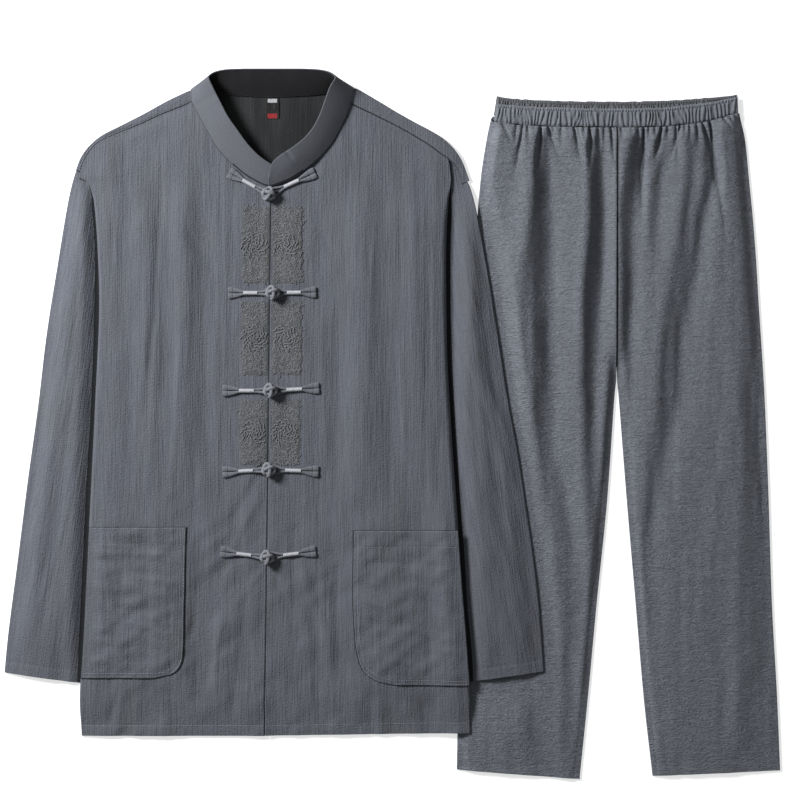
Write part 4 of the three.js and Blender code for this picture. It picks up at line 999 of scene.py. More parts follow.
# Collar. Columns: place, foot x, foot y, head x, head y, rise.
COLLAR = [(i, *row) for i, row in enumerate([
    (10, 703, 15, 726, 8), (0, 703, 5, 731, 9), (-23, 713, -10, 741, 11), (-45, 730, -24, 755, 13),
    (-65, 751, -38, 774, 15), (-79, 775, -50, 791, 17), (-91, 797, -60, 810, 19), (-99, 814, -69, 828, 22),
    (-99, 828, -74, 840, 24), (-84, 829, -68, 847, 24), (-62, 823, -52, 851, 23), (-30, 820, -26, 852, 22),
    (6, 819, 6, 852, 22), (42, 820, 38, 852, 22), (74, 823, 64, 851, 23), (97, 830, 81, 847, 24),
    (110, 830, 87, 840, 24), (108, 814, 80, 828, 22), (104, 800, 74, 812, 20), (95, 780, 67, 793, 18),
    (84, 760, 58, 776, 17), (69, 742, 47, 763, 16), (48, 724, 33, 752, 15), (28, 711, 19, 743, 14),
    (10, 704, 9, 735, 13), (1, 702, 2, 727, 12),
])]
COLLAR_LAP = 2.4
FROG_ROWS = 46  # rows at each end of the collar that lie beside its frog, where the painted shade at its foot is two columns wide


def collar():
    last = len(COLLAR) - 1
    s = np.linspace(0, last, 380)[:, None]
    t = np.linspace(0, 1, 26)[None, :]
    foot_x, foot_y, head_x, head_y, rise = (curve(COLLAR, k)(s) for k in range(1, 6))
    lap = COLLAR_LAP * ramp((s - last + 5) / 3)
    at_back = ramp((s - 8) / 1.5) * ramp((last - 9 - s) / 1.5)
    on_front = front_top(foot_x, np.minimum(foot_y, 806), False) + COLLAR_WALL + SEAM_GAP + lap
    base = mix(on_front, WALL + 2 * SEAM_GAP, at_back)
    near_end = clamp01(s - last + 1.05)
    corner = 0.36 * (1 - np.sqrt(1 - clamp01(near_end - 0.05) ** 2)) + 0.1 * ramp((0.8 - s) / 0.8) ** 2
    reach = t * (1 - corner)
    crease = -1.3 * bell(s - 22.6 + 0.5 * (1 - t), 0.16) * ramp((t - 0.45) / 0.4)
    wave = 0.5 * noise(s * 0.8, t * 1.5, 31) * np.sin(math.pi * t)
    z = base + rise * reach + 1.5 * np.sin(math.pi * t) + crease + wave
    outer = stack(mix(foot_x, head_x, reach), mix(foot_y, head_y, reach), z)
    last_row = len(s)
    inner = offset(outer, COLLAR_WALL, 1)

    # The collar's inner face is painted near black, and its foot is painted dark and wider beside the frogs:
    # painted shade.
    def paint(middles, faces, count):
        inside = (faces.min(1) >= count) & (faces.max(1) < 2 * count)
        row, column = faces.min(1) // outer.shape[1], faces.min(1) % outer.shape[1]
        beside_frog = np.minimum(row, last_row - row) < FROG_ROWS
        foot = (faces.max(1) < count) & (column < np.where(beside_frog, 2, 1))
        return np.where(inside, 1, np.where(foot, 2, 0))

    materials = [collar_cloth, collar_inside_painted_shade, painted_seam_shade]
    return shell("collar_cloth_band", outer, inner, materials, JACKET_AT, paint=paint)


# Patch pockets. Columns: y, edge nearest the centre front.
RIGHT_POCKET = [(74, -150), (78, -126), (86, -114), (98, -108.5), (120, -107), (180, -106), (268, -104)]
LEFT_POCKET = [(65, 168), (70, 141), (82, 122), (98, 115), (120, 111), (180, 108), (264, 109)]


def pocket_top(outline, side, seed, x, y):
    """The height of a pocket's cloth over the front that carries it."""
    inner_edge = curve(outline, 1)
    foot, head = outline[0][0], outline[-1][0]
    from_edge = np.minimum(np.abs(x - inner_edge(y)), y - foot)
    from_edge = np.minimum(from_edge, np.abs(x - side(y)) + 3)
    puff = 1.3 * ramp((from_edge - 5) / 26)
    seam = 0.45 * ramp(from_edge / 2) - 0.4 * bell(from_edge - 4.6, 1.1)
    hem = 0.35 * ramp((y - head + 23) / 1.5) - 0.3 * bell(y - head + 22, 1.2)
    crease = -0.8 * bell(y - head + 36 + 0.04 * x, 2.2) * ramp((from_edge - 8) / 20)
    slant = 1.2 * noise((x - 1.2 * y) / 34, (y + 0.5 * x) / 12, seed) + 0.25 * noise(x / 5, y / 30, seed + 1)
    slant = slant + 0.8 * noise(x / 30, y / 9, seed + 2)
    slant = slant + 0.5 * noise((x + 2 * y) / 16, (2 * x - y) / 70, seed + 3)
    return front_top(x, y) + 0.25 + WALL + puff + seam + hem + crease + slant * ramp((from_edge - 6) / 16)


def pocket(name, outline, side, inset, seed):
    inner_edge = curve(outline, 1)
    foot, head = outline[0][0], outline[-1][0]
    y = rows_of(foot, head, 2.7, head - 0.9, head - 21, head - 22, head - 23, head - 24)[:, None]
    y[1, 0] = foot + 0.9
    u = np.append(np.linspace(0, 0.991, 56), 1)[None, :]
    x = mix(side(y) + inset, inner_edge(y), u)
    z = pocket_top(outline, side, seed, x, y)
    outer = stack(x, y, z)
    inner = outer - np.array([0, 0, WALL])
    # The pocket's foot row, the column at its inner edge and its rims are painted dark: painted shade along
    # its edges.
    paint = shade_line_paint(outer.shape[1], row=0, column=outer.shape[1] - 2, rims=True)
    return shell(name, outer, inner, [jacket_cloth, painted_seam_shade], JACKET_AT, paint=paint)


# Trousers, in their own frame
band_foot, band_head, band_back_head = (curve(WAISTBAND, k) for k in (1, 2, 3))
# Columns: x at the band, depth, length, drift to the side per millimetre down.
GATHERS = [
    (-147, 2.0, 16, 0.5), (-128, 2.4, 16, -0.1), (-120, 3.0, 34, -0.16), (-114, 1.8, 14, 0),
    (-97, 5.0, 34, -0.1), (-88, 3.0, 20, 0.35), (-82, 2.0, 12, 0.1), (-71, 1.8, 16, 0),
    (-55, 3.4, 26, 0.2), (-50, 2.0, 14, 0.1), (-42, 1.8, 10, 0), (-34.5, 5.0, 26, 0), (-24, 2.2, 16, 0.1),
    (-16, 2.4, 18, 0), (-8, 3.0, 34, 0.12), (6, 1.6, 10, 0), (27.5, 2.4, 12, 0), (34.5, 5.0, 60, -0.02),
    (41, 2.4, 9, 0), (49, 1.8, 8, 0), (57.5, 4.6, 26, -0.2), (65, 2.4, 9, 0), (75.5, 3.0, 26, 0.05),
    (81.5, 3.2, 22, -0.3), (87, 2.0, 10, 0), (93, 2.4, 12, 0), (102, 3.0, 18, 0.1), (109, 3.6, 26, 0.33),
    (119, 5.0, 70, 0.13), (136, 2.4, 14, 0.6), (143, 2.0, 12, 0.6), (149, 2.6, 24, 0.75),
]


def gathers(x, y):
    """The puffs and creases that the trousers hang in from their waistband."""
    below = band_foot(x) - y
    deepest = np.zeros(np.broadcast(x, y).shape)
    for at, depth, length, drift in GATHERS:
        width = mix(1.5, 4.6, clamp01(below / (1.5 * length)))
        fade = ramp(1.1 - below / (2.3 * length))
        crease = 1.7 * depth * fade * np.exp(-(np.abs((x - at - drift * below) / width) ** 1.5))
        deepest = np.maximum(deepest, crease)
    small = 0.8 * noise(x / 3.1, below / 30, 17) * ramp(1 - below / 22)
    return 4.4 * ramp(below / 5 + 0.3) * ramp(1 - below / 60) + small - deepest


def free_of_sleeve(x, y):
    """0 where the jacket's sleeve presses the leg flat."""
    jacket_y = y - JACKET_ABOVE_TROUSERS
    edge = sleeve_outer(jacket_y) + JACKET_FROM_TROUSERS
    beside = ramp((x - edge - 9) / 22)
    past_ends = np.maximum(ramp((LEFT_SLEEVE[0][0] - 20 - jacket_y) / 40), ramp((jacket_y - 690) / 60))
    return np.maximum(beside, past_ends)


TROUSER_HEM = 13
LEG_LENGTH = 835
# The trousers' cloth bends softly, so the height beside a point counts too. Columns: distance, share.
SOFT_BENDS = [(-6.5, 0.12), (-4, 0.16), (-1.5, 0.22), (1.5, 0.22), (4, 0.16), (6.5, 0.12)]

STEEPNESS = (1.65, 2.5)  # how much steeper than the lines' heights: at the middle, and at the right side
# width of the dark strip painted along the seat seam, a painted shade
SEAT_SHADE_WIDTH = 2.4
SEAT_STEEPNESS = 0.6  # more, beside the seat seam


def leg(name, table, side, hem_shift, seed):
    """A trouser leg: one layer round from the seat seam, over the side fold, to the front seam. Below
    the crotch both its edges curl in and meet at the inner leg. side is -1 on the right."""
    side_at, inner_at = curve(table, 1), curve(table, 2)

    def head_for(head_of, u):
        near = head_of(mix(side_at(840), inner_at(840), u))
        return head_of(mix(side_at(near), inner_at(near), u))

    def front_head(x):
        return band_foot(x) - LEG_SEAM_GAP

    def back_head(x):
        return band_back_head(x) - WAISTBAND_HEIGHT - LEG_SEAM_GAP

    def under(x, y):
        out, inward = np.abs(x - side_at(y)), np.abs(x - inner_at(y))
        above_crotch = y - CROTCH_Y
        from_side = ramp(out / 16)
        from_inner = mix(ramp(inward / 15), 1, ramp((above_crotch + 10) / 50))
        hem = mix(0.5, 1, ramp(y / 60))
        free = free_of_sleeve(x, y)
        sway = 2.0 * noise(y / 64, x / 60, seed + 8) * ramp(out / 30)
        lines = sum(share * relief(TROUSER_LINES, x + sway + beside, y) for beside, share in SOFT_BENDS)
        steepness = mix(*STEEPNESS, ramp((-85 - x) / 25)) + SEAT_STEEPNESS * ramp((60 - np.abs(x + 30)) / 30)
        folds = mix(LOFT, 0.8 + steepness * lines, free) * from_side * from_inner * hem
        at_band = ramp((y - band_foot(x) + 15) / 14)
        seam = -0.9 * bell(x, 1.6) * ramp(above_crotch / 30) * (1 - at_band)
        warp = noise(x / 26, y / 40, seed + 6)
        waves = 0.4 * noise(x / 22, y / 7.5 + 0.8 * warp, seed)
        waves = waves + 0.16 * noise(x / 9, y / 3.8 + warp, seed + 1)
        waves = waves + 1.1 * noise(x / 20 + 0.4 * warp, y / 110, seed + 2)
        waves = waves + 0.5 * noise(x / 9, y / 70, seed + 3)
        calm = ramp(out / 9) * mix(ramp((inward - 2) / 9), 1, ramp(above_crotch / 40))
        edge = 0.3 * ramp((TROUSER_HEM + 1 - y) / 1.6) - 0.3 * bell(y - TROUSER_HEM, 1.3)
        turned = -0.45 * bell(inward - 7, 1.3) * ramp((-30 - above_crotch) / 60)
        rest = SEAM_GAP + folds + (waves * mix(0.4, 1, free) + edge) * calm + turned + seam
        hung = mix(rest, WAISTBAND_THICKNESS + RUFFLE_HEIGHT, at_band) + gathers(x, y) * ramp(out / 12)
        return WALL + np.maximum(SEAM_GAP, hung)

    u_front = np.linspace(0, 1, 150)[None, :]
    t = np.concatenate([np.linspace(0, 0.9, 125)[:-1], np.linspace(0.9, 1, 44)])
    t = np.unique(np.concatenate([t, np.array(hem_rows(0, TROUSER_HEM)) / LEG_LENGTH]))[:, None]

    def y_at(u, head):
        return head * t + hem_shift(u) * clamp01(1 - t * 4)

    # the flat front
    head = head_for(front_head, u_front)
    y_front = y_at(u_front, head)
    turn = ramp((CROTCH_Y - y_front[:, -1:]) / 25)
    pull = mix(math.pi / 2, 1, turn) * ROLL
    radius = (WALL + under(side_at(y_front[:, :1]), y_front[:, :1])) / 2
    x_from = side_at(y_front) - side * radius
    x_to = inner_at(y_front) + side * pull
    x_front = mix(x_from, x_to, u_front)
    z_front = WALL + under(x_front, y_front)
    seam_top = z_front[:, -1:]
    # its inner edge, curled down
    length = np.linspace(0, 0.98, ROLL_STEPS + 1)[None, 1:]
    curl = np.where(turn > 0, np.minimum(ROLL, seam_top / 2), ROLL)
    front_curl_x, front_curl_z, front_curl = rolled(x_front[:, -1:], seam_top, -side, turn, curl, length)
    # the flat back
    u_back = np.linspace(1, 0, 16)[None, :]
    head = head_for(back_head, u_back)
    y_back = y_at(u_back, head)
    x_from = side_at(y_back) - side * radius
    shift = -1.0 * u_back * ramp((y_back - CROTCH_Y) / 20)
    x_back = mix(x_from, inner_at(y_back) + side * pull, u_back) + shift
    rise = 0.5 * (1 + noise(x_back / 15, y_back / 110, seed + 5))
    for edge_at in (side_at, inner_at):
        rise = rise * ramp(np.abs(x_back - edge_at(y_back)) / 40)
    rise = rise * ramp(y_back / 40) * ramp((780 - y_back) / 60)
    back_curl_x, back_curl_z, back_curl = rolled(
        x_back[:, :1], -rise[:, :1], -side, turn, ROLL, length[:, ::-1])
    # the fold at the side
    angle = np.radians(np.linspace(180, 0, 11)[1:-1])[None, :]
    x_fold = (side_at(y_front[:, :1]) - side * radius) + side * radius * np.sin(angle)
    z_fold = radius + radius * np.cos(angle)
    y_fold = mix(y_back[:, -1:], y_front[:, :1], np.linspace(0, 1, 11)[None, 1:-1])
    x = np.concatenate([back_curl_x, x_back, x_fold, x_front, front_curl_x], 1)
    back_curl_y, front_curl_y = y_back[:, :1] + 0 * back_curl_x, y_front[:, -1:] + 0 * front_curl_x
    y = np.concatenate([back_curl_y, y_back, y_fold, y_front, front_curl_y], 1)
    z = np.concatenate([-back_curl_z, rise, z_fold, z_front, front_curl_z], 1)
    # the way that each point faces, as an angle from straight up, towards the side seam
    tilt = np.concatenate([
        back_curl - math.pi, x_back * 0 + math.pi, angle + 0 * t, x_front * 0, -front_curl], 1)
    outer = stack(x, y, z)
    inner = outer - WALL * stack(side * np.sin(tilt), 0 * tilt, np.cos(tilt))

    # A strip along the seat seam is painted dark: painted shade in the groove between the legs.
    def paint(middles, faces, count):
        x, y, z = middles.T
        return np.where((np.abs(x) < SEAT_SHADE_WIDTH / 2) & (y > CROTCH_Y) & (z > WALL), 1, 0)

    return shell(name, outer, inner, [trouser_cloth, painted_seam_shade], TROUSERS_AT, rims=(1, 0, 1, 0), paint=paint)


def waistband(name, foot_of, head_of, base, pitch, material, columns, seed):
    """One half of the elastic casing: ruffles below a small frilled edge."""
    first, last = WAISTBAND[0][0], WAISTBAND[-1][0]
    u = np.linspace(0, 1, columns)[None, :]
    t = np.array([0, 0.03, 0.07, 0.13, 0.25, 0.4, 0.55, 0.68, 0.75, 0.79, 0.83, 0.9, 0.95, 0.98, 1])[:, None]
    flat_x = mix(first, last, u)
    lean = t * np.where(u < 0.5, 5 * (1 - 2 * u), -2 * (2 * u - 1))
    x = flat_x + lean + 2.4 * (t - 0.5) * noise(flat_x / 19, 0 * u, seed)
    y = mix(foot_of(flat_x), head_of(flat_x), t)
    y = y + 0.5 * noise(flat_x / 6, 0 * u, seed + 5) * ramp((t - 0.8) / 0.2)
    y = y - 0.7 * noise(flat_x / 5, 0 * u, seed + 6) * ramp((0.2 - t) / 0.2)
    phase = flat_x / pitch + noise(flat_x / 17, t * 1.1, seed + 1)
    phase = phase + 0.5 * noise(flat_x / 6, t * 1.7, seed + 2)
    crest = (0.5 + 0.5 * np.cos(2 * math.pi * phase)) ** 0.8
    frill = 0.5 + 0.5 * np.cos(2 * math.pi * 1.7 * phase + 1.4 * noise(flat_x / 7, 0 * u, seed + 4))
    ruffle = 2.4 * crest * (0.66 + 0.34 * noise(flat_x / 7, t * 2, seed + 3))
    ruffle = mix(ruffle, 0.9 * frill + 0.5, ramp((t - 0.74) / 0.08))
    ruffle = ruffle - 0.9 * bell(t - 0.785, 0.025)
    edge = mix(0.3, 1, ramp(np.minimum(t, 1 - t) / 0.12))
    rounding = 1.0 * (1 - ramp(np.minimum(t, 1 - t) / 0.1))
    ends = ramp(np.minimum(u, 1 - u) * 310 / 3)
    z_top = base + mix(WAISTBAND_THICKNESS * 0.7, WAISTBAND_THICKNESS + ruffle * edge - rounding, ends)
    outer, inner = stack(x, y, z_top), stack(x, y, base + 0 * x)
    return shell(name, outer, inner, [material], TROUSERS_AT, rims=(0.5, 0.5, 0.5, 0.5))


# Frog fastenings. Columns: knot x, knot y, right half's angle and length, left half's angle and length,
# and how far the loop's end shows past the knot.
FROGS = [
    (1, 693, 151, 58, 25, 66, 1.5), (6, 567, 180, 57, 1, 56, 4.6), (3, 442, 180, 61, 3, 63, 2.2),
    (1, 341, 183, 59, -2, 64, 1.2), (-1, 229, 173, 60, 7, 63, 1.8),
]
FULL_LENGTH = 58
FROG_GAP = 0.35
KNOT_RADIUS = 7.2
KNOT_CORE = 6.6
KNOT_TILT = math.radians(50)
KNOT_SQUASH = 0.74
KNOT_MIDDLE = 8.4
STRAND = (4.7, 4.0)
WRAP_ENDS = (19.4, 37.8)
WRAP_PITCH = 1.4
LOOP_SIZE = (6.4, 7.0)
# A cord of the splayed end. Columns: along, distance from the middle line, width, depth, height.
SPLAYED_END = [
    (19, 1.55, 3.0, 2.6, 2.3), (30, 1.55, 3.0, 2.6, 2.3), (38, 1.6, 3.1, 2.6, 2.3), (43, 2.5, 4.4, 2.4, 1.7),
    (48, 3.3, 5.8, 2.2, 1.5), (51.5, 3.6, 6.4, 2.2, 1.5),
]


def half_cord(sign, length):
    """The splayed end of one cord as (path, widths, depths), from the wrap outwards."""
    along = np.linspace(19, 51.5, 20)
    apart, width, depth, height = (curve(SPLAYED_END, k)(along) for k in (1, 2, 3, 4))
    path = stack(along * length / FULL_LENGTH, sign * apart, height)
    return path, width, depth


def end_band(sign, length):
    """The cord's folded-under end, a little wider and higher than the cord."""
    along = np.array([51, 51.4, 52.4, 54.5, 56.6, 57.6, 58.0])
    apart = np.full(7, 3.75)
    width = np.array([6.2, 6.9, 7.2, 7.4, 7.4, 7.2, 6.0])
    depth = np.array([1.6, 2.6, 3.0, 3.0, 2.9, 2.5, 1.4])
    return stack(along * length / FULL_LENGTH, sign * apart, 1.55 + 0 * along), width, depth


def frog_frame(spot, angle):
    """Moves points from a half's own frame onto the jacket's fronts."""
    def place(points):
        c, s = math.cos(math.radians(angle)), math.sin(math.radians(angle))
        x = spot[0] + points[:, 0] * c - points[:, 1] * s
        y = spot[1] + points[:, 0] * s + points[:, 1] * c
        rest = front_top(x, y, False)
        seat = front_top(np.array(float(spot[0])), np.array(float(spot[1])), False)
        held = ramp((np.abs(points[:, 0]) - 6) / 16)
        return stack(x, y, points[:, 2] + FROG_GAP + mix(seat, rest, held))
    return place


def knot_ball():
    """A button knot: one cord that weaves over and under itself round a ball, and the ball's core."""
    t = np.linspace(0, 2 * math.pi, 260, endpoint=False)
    longitude, latitude = 3 * t, np.radians(58) * np.cos(4 * t)
    radius = (KNOT_RADIUS + np.sin(8 * t))[:, None]
    across = np.cos(latitude)
    path = radius * stack(np.sin(latitude), across * np.cos(longitude), across * np.sin(longitude))
    run = unit(np.roll(path, -1, 0) - np.roll(path, 1, 0))
    strand = tube(path, *STRAND, np.cross(unit(path), run), 8, closed=True)
    u = np.linspace(0.02, math.pi - 0.02, 14)[:, None]
    v = np.linspace(0, 2 * math.pi, 24, endpoint=False)[None, :]
    core = KNOT_CORE * stack(np.cos(u), np.sin(u) * np.cos(v), np.sin(u) * np.sin(v)).reshape(-1, 3)
    made = []
    for points, faces in (strand, (core, grid_faces(14, 24, 0, True).tolist())):
        x = points[:, 0] * math.cos(KNOT_TILT) - points[:, 1] * math.sin(KNOT_TILT)
        y = points[:, 0] * math.sin(KNOT_TILT) + points[:, 1] * math.cos(KNOT_TILT)
        made.append((stack(x, y, points[:, 2] * KNOT_SQUASH + KNOT_MIDDLE), faces))
    return made


def wrap_of_thread(length):
    """The silver wrap: thread wound round both cords."""
    first, last = WRAP_ENDS
    along = np.linspace(first, last, 92)
    wound = 1 + 0.09 * np.abs(np.sin(math.pi * (along - first) / WRAP_PITCH))
    ends = np.sqrt(clamp01(np.minimum(along - first, last - along) / 0.8)) * 0.12 + 0.88
    path = stack(along * length / FULL_LENGTH, 0 * along, 2.5 + 0 * along)
    return tube(path, STRAND[0] * wound * ends, STRAND[1] * wound * ends, sides=12)


def frog(number, spot):
    """One fastening: the knot's half on the wearer's right, the loop's half on the left."""
    right, left = frog_frame(spot, spot[2]), frog_frame(spot, spot[4])
    right_length, left_length, past_knot = spot[3], spot[5], spot[6]
    parts = []
    for sign in (1, -1):
        path, width, depth = half_cord(sign, right_length)
        neck_x = np.linspace(3.5, 18, 10) * right_length / FULL_LENGTH
        reach = ramp((neck_x - 6) / 12)
        neck = stack(neck_x, sign * mix(2.3, 1.55, reach), mix(6.0, 2.4, reach))
        path = np.concatenate([neck, path])
        width = np.concatenate([np.full(10, 3.2), width])
        depth = np.concatenate([np.full(10, 2.8), depth])
        parts.append(tube(path, width, depth, sides=12))
        parts.append(tube(*end_band(sign, right_length), sides=12))
    strand, core = knot_ball()
    points, faces = joined(parts + [strand, core])
    strand_faces, core_faces = len(strand[1]), len(core[1])
    # The knot's strands take a lighter copy of the cord, painted light, and its core a dark one, painted
    # shade between the strands.
    indices = [0] * (len(faces) - strand_faces - core_faces) + [1] * strand_faces + [2] * core_faces
    materials = [cord_cloth, knot_painted_light, knot_gap_painted_shade]
    knot = make_object(f"frog_{number}_knot_cord", right(points), faces, materials, indices, JACKET_AT)
    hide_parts(f"frog_{number}_knot")

    parts = [tube(*end_band(sign, left_length), sides=12) for sign in (1, -1)]
    turn = np.radians(np.linspace(52, 308, 30))
    ring_x = LOOP_SIZE[0] * np.cos(turn) + past_knot * np.minimum(np.cos(turn), 0)
    ring = stack(ring_x, LOOP_SIZE[1] * np.sin(turn), 1.7 + 0 * turn)
    first, last = half_cord(1, left_length), half_cord(-1, left_length)
    lead = np.linspace(0, 1, 8)[1:-1]

    def join(start, end, drop):
        return stack(mix(start[0], end[0], lead), mix(start[1], end[1], ramp(lead)), drop)

    join_in = join(first[0][0], ring[0], mix(2.3, 1.7, lead))
    join_out = join(ring[-1], last[0][0], mix(1.7, 2.3, lead))
    path = np.concatenate([first[0][::-1], join_in, ring, join_out, last[0]])
    between = len(path) - 2 * len(first[0])
    width = np.concatenate([first[1][::-1], np.full(between, 3.1), last[1]])
    depth = np.concatenate([first[2][::-1], np.full(between, 2.6), last[2]])
    parts.append(tube(path, width, depth, sides=12))
    points, faces = joined(parts)
    loop = make_object(f"frog_{number}_loop_cord", left(points), faces, [cord_cloth], at=JACKET_AT)
    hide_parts(f"frog_{number}_loop")
    for word, place, length in (("right", right, right_length), ("left", left, left_length)):
        points, faces = wrap_of_thread(length)
        name = f"frog_{number}_thread_{word}"
        wrap = make_object(name, place(points), faces, [silver_thread], at=JACKET_AT)
        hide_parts(f"frog_{number}_wrap_{word}")


# Embroidery: patches of cloud scrolls beside the centre front, in raised tone-on-tone thread.
# Columns: lowest y, highest y, right edge, left edge.
PATCHES = [(580, 677, -37, 45), (462, 557, -38, 44), (347, 430, -40, 42)]
ROUNDEL_RADIUS = 17.5


def spiral(cx, cy, size, turns, start, hand):
    """A scroll that winds in to its middle."""
    t = np.linspace(0, 1, int(8 * turns) + 3)
    angle = start + hand * t * turns * 2 * math.pi
    radius = size * (1 - 0.86 * t)
    return np.stack([cx + radius * np.cos(angle), cy + radius * np.sin(angle)], -1)


def roundel(cx, cy, generator):
    """A round medallion of wavy cloud strokes, bolder and higher than the ground around it."""
    lines = []
    for ring, count in ((15.6, 11), (12.0, 8), (8.4, 6), (4.8, 4)):
        for k in range(count):
            a = (k + generator.uniform(-0.25, 0.25)) * 2 * math.pi / count + ring
            t = np.linspace(-0.5, 0.5, 9)
            sweep = a + t * (8.2 / ring)
            wave = ring + 3.4 * t + generator.uniform(0.7, 1.5) * np.sin(3 * math.pi * t + a)
            lines.append(np.stack([cx + wave * np.cos(sweep), cy + wave * np.sin(sweep)], -1))
    lines.append(spiral(cx, cy, 2.6, 1.3, 0.4, -1))
    return lines


def embroidery_lines(patch, side, seed):
    """The strokes of one patch on one side of the centre front: the roundel's and the ground's."""
    low, high, right, left = patch
    edge = abs(right if side < 0 else left) - 2
    middle = (low + high) / 2
    centre_x = side * 19.5 + 2
    generator = np.random.default_rng(seed)
    bold = roundel(centre_x, middle, generator)
    lines = []
    for row, y in enumerate(np.arange(low + 2, high, 4.1)):
        for x in np.arange(4 + 2.3 * (row % 2), edge - 1, 4.7):
            px = side * (x + generator.uniform(-1.1, 1.1)) + 2
            py = y + generator.uniform(-1.1, 1.1)
            outside = generator.uniform(0, 8) > min(edge - x, high - y, y - low) + 3
            if outside or math.hypot(px - centre_x, py - middle) < ROUNDEL_RADIUS + 1.4:
                continue
            hand = generator.choice((-1, 1))
            start = generator.uniform(0, 2 * math.pi)
            scroll = spiral(px, py, generator.uniform(2.0, 3.0), generator.uniform(0.7, 1.1), start, hand)
            reach = generator.uniform(2.4, 4.4)
            way = start - 0.5 * hand
            lead = scroll[0] + hand * reach * np.array([-math.sin(way), math.cos(way)])
            lines.append(np.concatenate([[lead, (lead + scroll[0]) / 2], scroll]))
    return bold, lines


def embroidery_pad(patch, side, seed):
    """The densely stitched ground under a patch's strokes, with ragged edges."""
    low, high, right, left = patch
    y = np.linspace(low, high, 40)[:, None]
    near = centre_front(y) + side * 1.6
    far = 2 + side * (abs(right if side < 0 else left) - 2.5 + 1.8 * noise(y / 5, 0 * y, seed))
    u = np.linspace(0, 1, 16)[None, :]
    x = mix(near, far, u)
    y = y + 1.6 * noise(x / 6, 0 * y, seed + 1) * np.abs(2 * (y - low) / (high - low) - 1)
    inside = np.minimum(np.minimum(u, 1 - u) * 16, np.minimum(y - low, high - y) / 3)
    top = front_top(x, y) + mix(0.12, 0.45, ramp(inside)) + 0.2 * noise(x / 3, y / 3, seed + 2)
    points, faces = shell_parts(stack(x, y, top), stack(x, y, top - 0.4))
    return points, faces.tolist()


def embroidery(name, side, seed):
    parts = [embroidery_pad(patch, side, seed + 40 + k) for k, patch in enumerate(PATCHES)]
    pad_faces = sum(len(part[1]) for part in parts)
    for k, patch in enumerate(PATCHES):
        for lines, thread, height in zip(embroidery_lines(patch, side, seed + k), (1.7, 1.25), (1.9, 0.8)):
            for line in lines:
                if (side * (line[:, 0] - centre_front(line[:, 1])) < 1.6).any():
                    continue
                z = front_top(line[:, 0], line[:, 1]) + 0.5
                parts.append(tube(stack(line[:, 0], line[:, 1], z), thread, height, sides=6))
    points, faces = joined(parts)
    # The pad takes the darker ground thread: partly its own tone, partly painted shade between the strokes.
    indices = [1] * pad_faces + [0] * (len(faces) - pad_faces)
    return make_object(name, points, faces, [embroidery_thread, embroidery_ground_and_shade], indices, JACKET_AT)


# Topstitching: a row of short raised stitches along a path.
STITCH_PITCH = 3.2
STITCH_WIDTHS = np.array([0.45, 0.85, 0.85, 0.45])
STITCH_DEPTHS = np.array([0.3, 0.55, 0.55, 0.3])


def stitches(paths):
    """One (points, faces) pair of stitches along each path of surface points."""
    parts = []
    for path in paths:
        step = np.linalg.norm(np.diff(path, axis=0), axis=-1)
        distance = np.concatenate([[0], np.cumsum(step)])
        count = int(distance[-1] / STITCH_PITCH)
        for k in range(count):
            at = (k + 0.5) * STITCH_PITCH + np.array([-1.1, -0.6, 0.6, 1.1])
            p = np.stack([np.interp(at, distance, path[:, i]) for i in range(3)], -1)
            p[:, 2] += np.array([-0.1, 0.15, 0.15, -0.1])
            parts.append(tube(p, STITCH_WIDTHS, STITCH_DEPTHS, sides=4))
    return joined(parts)


def path_on(height, x, y):
    x, y = np.broadcast_arrays(np.asarray(x, float), np.asarray(y, float))
    return stack(x, y, height(x, y))


jacket_back_cloth = jacket_back()
front_right = front("jacket_front_right_cloth", RIGHT_FRONT, -1)
front_left = front("jacket_front_left_cloth", LEFT_FRONT, 1)
shoulder_right = shoulder("shoulder_right_cloth", RIGHT_SHOULDER, right_side, True)
shoulder_left = shoulder("shoulder_left_cloth", LEFT_SHOULDER, left_side, False)
sleeve_right = sleeve(
    "sleeve_right_cloth", RIGHT_SLEEVE, lambda x, y: 0 * x * y, right_sleeve_cloth, 9.0, 0, 41)
sleeve_left = sleeve("sleeve_left_cloth", LEFT_SLEEVE, leg_lift, left_sleeve_cloth, 6.0, 6, 51)
collar_band = collar()
pocket_right = pocket("pocket_right_cloth", RIGHT_POCKET, right_side, 0.5, 61)
pocket_left = pocket("pocket_left_cloth", LEFT_POCKET, left_side, -0.5, 65)
leg_right = leg("trouser_leg_right_cloth", RIGHT_LEG, -1, lambda u: mix(8, -4, u), 71)
leg_left = leg("trouser_leg_left_cloth", LEFT_LEG, 1, lambda u: mix(7, 0, u), 81)
band_back = waistband(
    "waistband_back_cloth", lambda x: band_back_head(x) - WAISTBAND_HEIGHT, band_back_head, 0,
    4.6, band_inside_painted_shade, 440, 91)
band_front = waistband(
    "waistband_front_cloth", band_foot, band_head, WAISTBAND_THICKNESS + RUFFLE_HEIGHT + SEAM_GAP,
    5.6, band_cloth, 600, 95)

for made, nodes in (
    (jacket_back_cloth, ["jacket_back"]),
    (front_right, ["jacket_front_right"]), (front_left, ["jacket_front_left"]),
    (shoulder_right, ["shoulder_right"]), (shoulder_left, ["shoulder_left"]),
    (sleeve_right, ["sleeve_right_upper", "sleeve_right_under"]),
    (sleeve_left, ["sleeve_left_upper", "sleeve_left_under"]), (collar_band, ["collar"]),
    (pocket_right, ["pocket_right"]), (pocket_left, ["pocket_left"]),
    (leg_right, ["trouser_front_right", "trouser_back_right"]),
    (leg_left, ["trouser_front_left", "trouser_back_left"]),
    (band_back, ["waistband_back"]), (band_front, ["waistband_front"]),
):
    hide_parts(*nodes)

for number, spot in enumerate(FROGS, 1):
    frog(number, spot)

